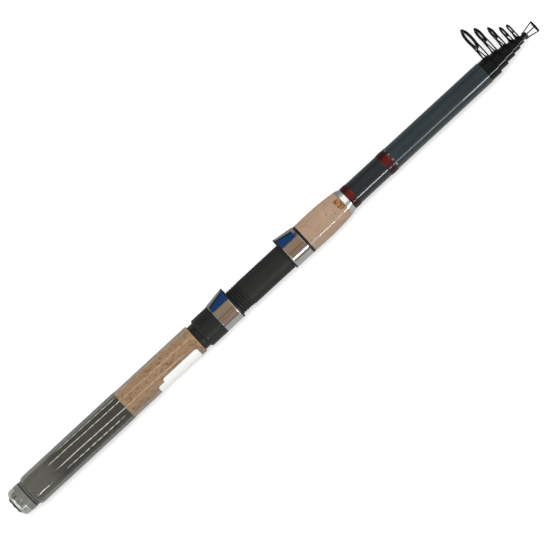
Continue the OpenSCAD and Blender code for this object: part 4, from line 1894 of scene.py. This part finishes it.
@dataclass
class Guide:
    """A line guide: sleeve, wire hoop, forked brace, ceramic ring and epoxy at the feet."""

    number: int
    wire_r: float = 0.58
    brace_r: float = 0.5
    crown_r: float = 1.0
    foot: float = 12.0
    turn: float = 8.0
    foot_bead: Triple = (0.85, 0.75, 0.75)
    ring_bead: Triple = (0.75, 0.6, 0.95)
    foot_steps: int = 4
    bend_steps: int = 16
    body: str = field(init=False)
    key: str = field(init=False)
    sleeve_r: float = field(init=False)
    lean: float = field(init=False)

    def __post_init__(self) -> None:
        """Names the guide's body and solids, and takes the size of its sleeve."""
        self.body = f"tube_{self.number + 1}"
        self.key = f"guide_{self.number}"
        self.sleeve_r = Span.of(f"{self.key}_sleeve").r
        self.lean = math.radians(self.turn)

    def build(self) -> None:
        """Builds and dresses the guide."""
        ring, brace = Span.of(f"{self.key}_ring"), Span.of(f"{self.key}_brace")
        loop_r = Span.of(f"{self.key}_hoop").y1 - ring.lift - self.wire_r
        crown_y = brace.y1 - self.crown_r - self.brace_r
        hoop_base = self.sleeve_r + CLEARANCE + self.wire_r
        brace_base = self.sleeve_r + CLEARANCE + self.brace_r
        hoop = (ring.middle, loop_r, ring.lift, hoop_base)
        fork = (brace.middle, self.crown_r, crown_y, brace_base)
        self.cover()
        self.wire("hoop", self.wire_r, *hoop)
        self.wire("brace", self.brace_r, *fork)
        dress(f"{self.key}_ring", Finishes.CERAMIC)
        self.feet((hoop, fork), Vector((brace.middle + 0.35, crown_y + self.crown_r + 0.2, 0)))

    def cover(self) -> None:
        """The sleeve with a softened front edge."""
        node = f"{self.key}_sleeve"
        corners = tube_corners(Span.of(node), end_radii(node, np.min), (0.2, 0.35), 0.1)
        fit(lathe(f"{self.key}_cover", corners, 1.0, 120), self.body, Finishes.SLEEVE, [node])

    def wire(self, kind: str, wire_r: float, x: float, top_r: float, top_y: float, base_r: float) -> None:
        """A wire over a circle above and down onto the sleeve's sides, in the guide's turned plane.

        Args:
            kind: The wire's name.
            wire_r: Its radius.
            x: Its plane along the rod.
            top_r: Radius of the bend above.
            top_y: Height of its centre.
            base_r: Radius of the feet's circle round the axis, before the turn.
        """
        base_r = base_r / math.cos(self.lean)
        lean = math.degrees(math.asin((base_r - top_r) / top_y))
        m, n = self.foot_steps, self.bend_steps
        feet = [(0.0, base_r, lean - self.foot * (1 - k / m)) for k in range(m + 1)]
        bend = [(top_y, top_r, lean + (90 - lean) * k / n) for k in range(n + 1)]
        right = [(r * math.cos(math.radians(a)), y + r * math.sin(math.radians(a))) for y, r, a in feet + bend]
        flat = right + [(-z, y) for z, y in right[-2::-1]]
        path = np.array([(x + z * math.sin(self.lean), y, z * math.cos(self.lean)) for z, y in flat])
        node = f"{self.key}_{kind}"
        fit(swept(f"{node}_wire", [path], wire_r), self.body, Finishes.WIRE, [node])

    def feet(self, bends: Sequence[tuple[float, float, float, float]], joint: Vector) -> None:
        """Drops of epoxy where the wires meet the sleeve, and solder under the ring.

        Args:
            bends: Plane, bend radius, bend height and feet's radius of each wire.
            joint: The place of the solder.
        """
        spots = []
        for x, top_r, top_y, base_r in bends:
            lean = math.asin((base_r - top_r) / top_y) - math.radians(self.foot / 2)
            for side in (1, -1):
                y, z = self.sleeve_r * math.sin(lean), self.sleeve_r * math.cos(lean) * side
                spots.append((Vector((x + z * math.tan(self.lean) - 0.2, y, z)), Vector(self.foot_bead)))
        spots.append((joint, Vector(self.ring_bead)))
        fit(blobs(f"{self.key}_feet", spots), self.body, Finishes.EPOXY)


@dataclass
class TipTop:
    """The tip-top: tube, four wires with their loop, and the tip ring."""

    body: str = "tube_7"
    wires: int = 4
    wire_r: float = 0.58
    leg_r: float = 0.5
    foot: float = 3.0
    sides: int = 96

    def build(self) -> None:
        """Builds and dresses the tip-top."""
        tube, ring = Span.of("tip_tube"), Span.of("tip_ring")
        loop_r = Span.of("tip_frame").y1 - self.wire_r
        self.cover()
        self.legs(tube, ring.middle, loop_r)
        self.loop(ring.middle, loop_r)
        dress("tip_ring", Finishes.CERAMIC)

    def cover(self) -> None:
        """The tube on the last section's tip."""
        corners = tube_corners(Span.of("tip_tube"), end_radii("tip_tube", np.min), (0.15, 0.3), 0.1)
        piece = lathe("tip_tube_cover", corners, 0.8, self.sides)
        fit(piece, self.body, Finishes.SLEEVE, ["tip_tube"])

    def legs(self, tube: Span, ring_x: float, loop_r: float) -> None:
        """The wires that carry the loop.

        Args:
            tube: Where the tube lies.
            ring_x: The loop's plane along the rod.
            loop_r: The loop's radius.
        """
        foot_r = tube.r + CLEARANCE + self.leg_r
        rough = np.array(
            [
                (tube.x1 - self.foot, foot_r),
                (tube.x1 - self.leg_r, foot_r),
                (tube.x1 + self.leg_r, foot_r + self.leg_r / 2),
                (ring_x - self.wire_r - CLEARANCE, loop_r),
            ]
        )
        lengths = np.concatenate([[0], np.cumsum(np.linalg.norm(np.diff(rough, axis=0), axis=1))])
        even = np.linspace(0, lengths[-1], 22)
        line = np.stack([np.interp(even, lengths, rough[:, k]) for k in (0, 1)], -1)
        line[1:-1] = (line[:-2] + 2 * line[1:-1] + line[2:]) / 4
        paths = []
        for n in range(self.wires):
            a = 2 * math.pi * n / self.wires
            paths.append(np.array([(x, r * math.cos(a), r * math.sin(a)) for x, r in line]))
        piece = swept("tip_frame_wires", paths, self.leg_r)
        fit(piece, self.body, Finishes.WIRE, ["tip_frame"])

    def loop(self, ring_x: float, loop_r: float) -> None:
        """The loop round the tip ring.

        Args:
            ring_x: Its plane along the rod.
            loop_r: Its radius.
        """
        around = np.linspace(0, 2 * np.pi, 24, endpoint=False)
        x, r = ring_x + self.wire_r * np.cos(around), loop_r + self.wire_r * np.sin(around)
        piece = turned("tip_frame_loop", x, r, wheel(self.sides))
        fit(piece, self.body, Finishes.WIRE, ["tip_frame"])


# Studio


@dataclass(frozen=True)
class Strip:
    """A long lamp beside the rod: its ends along the rod, its width and its glow."""

    name: str
    x0: float
    x1: float
    width: float
    glow: float


@dataclass
class Studio:
    """Pale floor, soft light and the camera above the rod."""

    aim: tuple[float, float] = (260.0, -5.3)
    height: float = 2500.0
    tilt: float = 42.7
    lens: float = 204.0
    sensor: float = 36.0
    floor_z: float = -13.75
    floor_half: float = 4000.0
    floor_grey: Colour = (0.86, 0.86, 0.86)
    floor_glow: float = 0.4
    mirrored_near: Colour = (0.46, 0.47, 0.45)
    mirrored_rear: Colour = (0.45, 0.46, 0.45)
    mirrored_front: Colour = (0.24, 0.24, 0.23)
    white: Colour = (1.0, 1.0, 1.0)
    sky: Colour = (0.7, 0.7, 0.693)
    side_low: Colour = (0.02, 0.02, 0.02)
    side_high: Colour = (0.92, 1.0, 0.98)
    front_wall: Colour = (0.42, 0.43, 0.4)
    end_glow: Colour = (1.1, 1.1, 1.1)
    key_spot: Triple = (260.0, 300.0, 1400.0)
    key_aim: Triple = (260.0, 0.0, 0.0)
    key_size: tuple[float, float] = (900.0, 300.0)
    key_power: float = 9.0
    lamp_angle: float = 56.5
    lamp_reach: float = 1000.0
    strips: tuple[Strip, ...] = (
        Strip("strip_cap", -300.0, -108.0, 130.0, 1.6),
        Strip("strip_butt", -107.0, -86.0, 130.0, 18.0),
        Strip("strip_hood", 272.0, 309.5, 190.0, 4.5),
        Strip("strip_grip", 311.0, 445.0, 115.0, 18.0),
        Strip("strip_blank", 449.0, 545.0, 65.0, 7.0),
        Strip("strip_tip", 549.0, 1100.0, 110.0, 18.0),
    )
    ceiling: tuple[tuple[float, Colour], ...] = (
        (0.0, (0.3, 0.3, 0.3)),
        (0.27, (0.42, 0.42, 0.40)),
        (0.295, (0.08, 0.055, 0.045)),
        (0.31, (0.34, 0.22, 0.17)),
        (0.405, (0.33, 0.21, 0.16)),
        (0.413, (0.16, 0.095, 0.05)),
        (0.425, (0.36, 0.25, 0.16)),
        (0.478, (0.22, 0.14, 0.09)),
        (0.5, (0.33, 0.23, 0.14)),
        (0.62, (0.34, 0.24, 0.16)),
        (0.69, (0.08, 0.07, 0.06)),
        (1.0, (0.06, 0.06, 0.06)),
    )

    def build(self) -> None:
        """Builds the studio."""
        self.floor()
        self.world()
        self.lamps()
        self.camera()
        bpy.context.scene.view_settings.view_transform = "Standard"

    def floor(self) -> None:
        """The pale floor that takes the rod's shadow."""
        half, z = self.floor_half * MM, self.floor_z * MM
        mesh = bpy.data.meshes.new("floor")
        mesh.from_pydata([(-half, -half, z), (half, -half, z), (half, half, z), (-half, half, z)], [], [(0, 1, 2, 3)])
        floor = bpy.data.objects.new("floor", mesh)
        bpy.context.scene.collection.objects.link(floor)
        material = bpy.data.materials.new("floor_white")
        material.use_nodes = True
        s = Shader(material.node_tree)
        camera = s.node("ShaderNodeLightPath", out="Is Camera Ray")
        seen = camera + camera.beside("Is Transmission Ray")
        matt = s.node("ShaderNodeBsdfDiffuse", None, {"Color": self.floor_grey})
        glow = s.node("ShaderNodeEmission", None, {"Color": self.white, "Strength": seen * self.floor_glow})
        lit = s.node("ShaderNodeAddShader", None, {0: matt, 1: glow})
        x, y, _ = s.axes()
        far = s.mix(x.rise(184 * MM, 194 * MM), self.mirrored_rear, self.mirrored_front)
        tone = s.mix(y.rise(-15 * MM, 45 * MM), self.mirrored_near, far)
        mirrored = s.node("ShaderNodeEmission", None, {"Color": tone, "Strength": 1.0})
        s.finish(s.node("ShaderNodeMixShader", None, {"Fac": camera.beside("Is Glossy Ray"), 1: lit, 2: mirrored}))
        mesh.materials.append(material)

    def world(self) -> None:
        """White behind everything, soft light all round, and a warm ceiling in reflections."""
        world = bpy.data.worlds.new("studio")
        bpy.context.scene.world = world
        world.use_nodes = True
        s = Shader(world.node_tree)
        way = s.node("ShaderNodeTexCoord", out="Generated")
        x = s.node("ShaderNodeSeparateXYZ", None, {0: way}, "X")
        lean = s.math("ARCTAN2", x.beside("Y"), x.beside("Z")) / math.pi * 0.5 + 0.5
        bands = s.node("ShaderNodeValToRGB", {"stops": self.ceiling}, {"Fac": lean}, "Color")
        sides = s.mix(bands, self.side_low, self.side_high)
        mirror = s.mix(abs(x + 0.005).rise(0.025, 0.055), bands, sides)
        mirror = s.mix(x.rise(0.3, 0.5), mirror, self.front_wall)
        patch = x.rise(0.33, 0.48) * lean.within(0.46, 0.66, 0.02)
        mirror = s.mix(patch + abs(x).rise(0.6, 0.85), mirror, self.end_glow)
        path = s.node("ShaderNodeLightPath", out="Is Glossy Ray")
        colour = s.mix(path.beside("Is Camera Ray"), s.mix(path, self.sky, mirror), self.white)
        back = s.node("ShaderNodeBackground", None, {"Color": colour, "Strength": 1.0})
        s.node("ShaderNodeOutputWorld", None, {"Surface": back})

    def lamp(
        self, name: str, spot: Triple, aim: Triple, size: tuple[float, float], power: float, mirrored: bool
    ) -> None:
        """An area lamp.

        Args:
            name: Its name.
            spot: Its place in millimetres.
            aim: Where it points.
            size: Its length along the rod and its width, in millimetres.
            power: Its power in watts.
            mirrored: Whether it only shows in shiny pieces, or only lights dull ones.
        """
        data = bpy.data.lights.new(name, "AREA")
        data.shape = "RECTANGLE"
        data.size, data.size_y = size[0] * MM, size[1] * MM
        data.energy = power
        lamp = bpy.data.objects.new(name, data)
        bpy.context.scene.collection.objects.link(lamp)
        lamp.location = Vector(spot) * MM
        back = (Vector(spot) - Vector(aim)).normalized()
        across = back.cross(Vector((1, 0, 0))).normalized()
        along = across.cross(back)
        lamp.rotation_mode = "QUATERNION"
        lamp.rotation_quaternion = Matrix((along, across, back)).transposed().to_quaternion()
        lamp.visible_glossy = mirrored
        lamp.visible_diffuse = not mirrored
        lamp.visible_camera = False

    def lamps(self) -> None:
        """A soft key nearly overhead on the guides' side, and a broken row of strips on the other."""
        self.lamp("key", self.key_spot, self.key_aim, self.key_size, self.key_power, False)
        a = math.radians(self.lamp_angle)
        y, z = -self.lamp_reach * math.sin(a), self.lamp_reach * math.cos(a)
        for strip in self.strips:
            middle, length = (strip.x0 + strip.x1) / 2, strip.x1 - strip.x0
            power = strip.glow * math.pi * length * strip.width * MM * MM
            self.lamp(strip.name, (middle, y, z), (middle, 0, 0), (length, strip.width), power, True)

    def camera(self) -> None:
        """The camera straight above, turned so that the rod rises to the right."""
        data = bpy.data.cameras.new("camera")
        data.lens = self.lens
        data.sensor_width = self.sensor
        data.clip_start, data.clip_end = 0.01, 20.0
        camera = bpy.data.objects.new("camera", data)
        bpy.context.scene.collection.objects.link(camera)
        camera.location = (self.aim[0] * MM, self.aim[1] * MM, self.height * MM)
        camera.rotation_euler = (0.0, 0.0, -math.radians(self.tilt))
        bpy.context.scene.camera = camera


def main() -> None:
    """Builds the rod's pieces in order, then the studio."""
    logging.basicConfig(level=logging.INFO, format="%(name)s: %(message)s")
    Butt().build()
    RearGrip().build()
    ReelSeat().build()
    Foregrip().build()
    Sections().build()
    for number in range(1, 6):
        Guide(number).build()
    TipTop().build()
    Studio().build()
    bpy.context.view_layer.update()


if __name__ == "__main__":
    main()
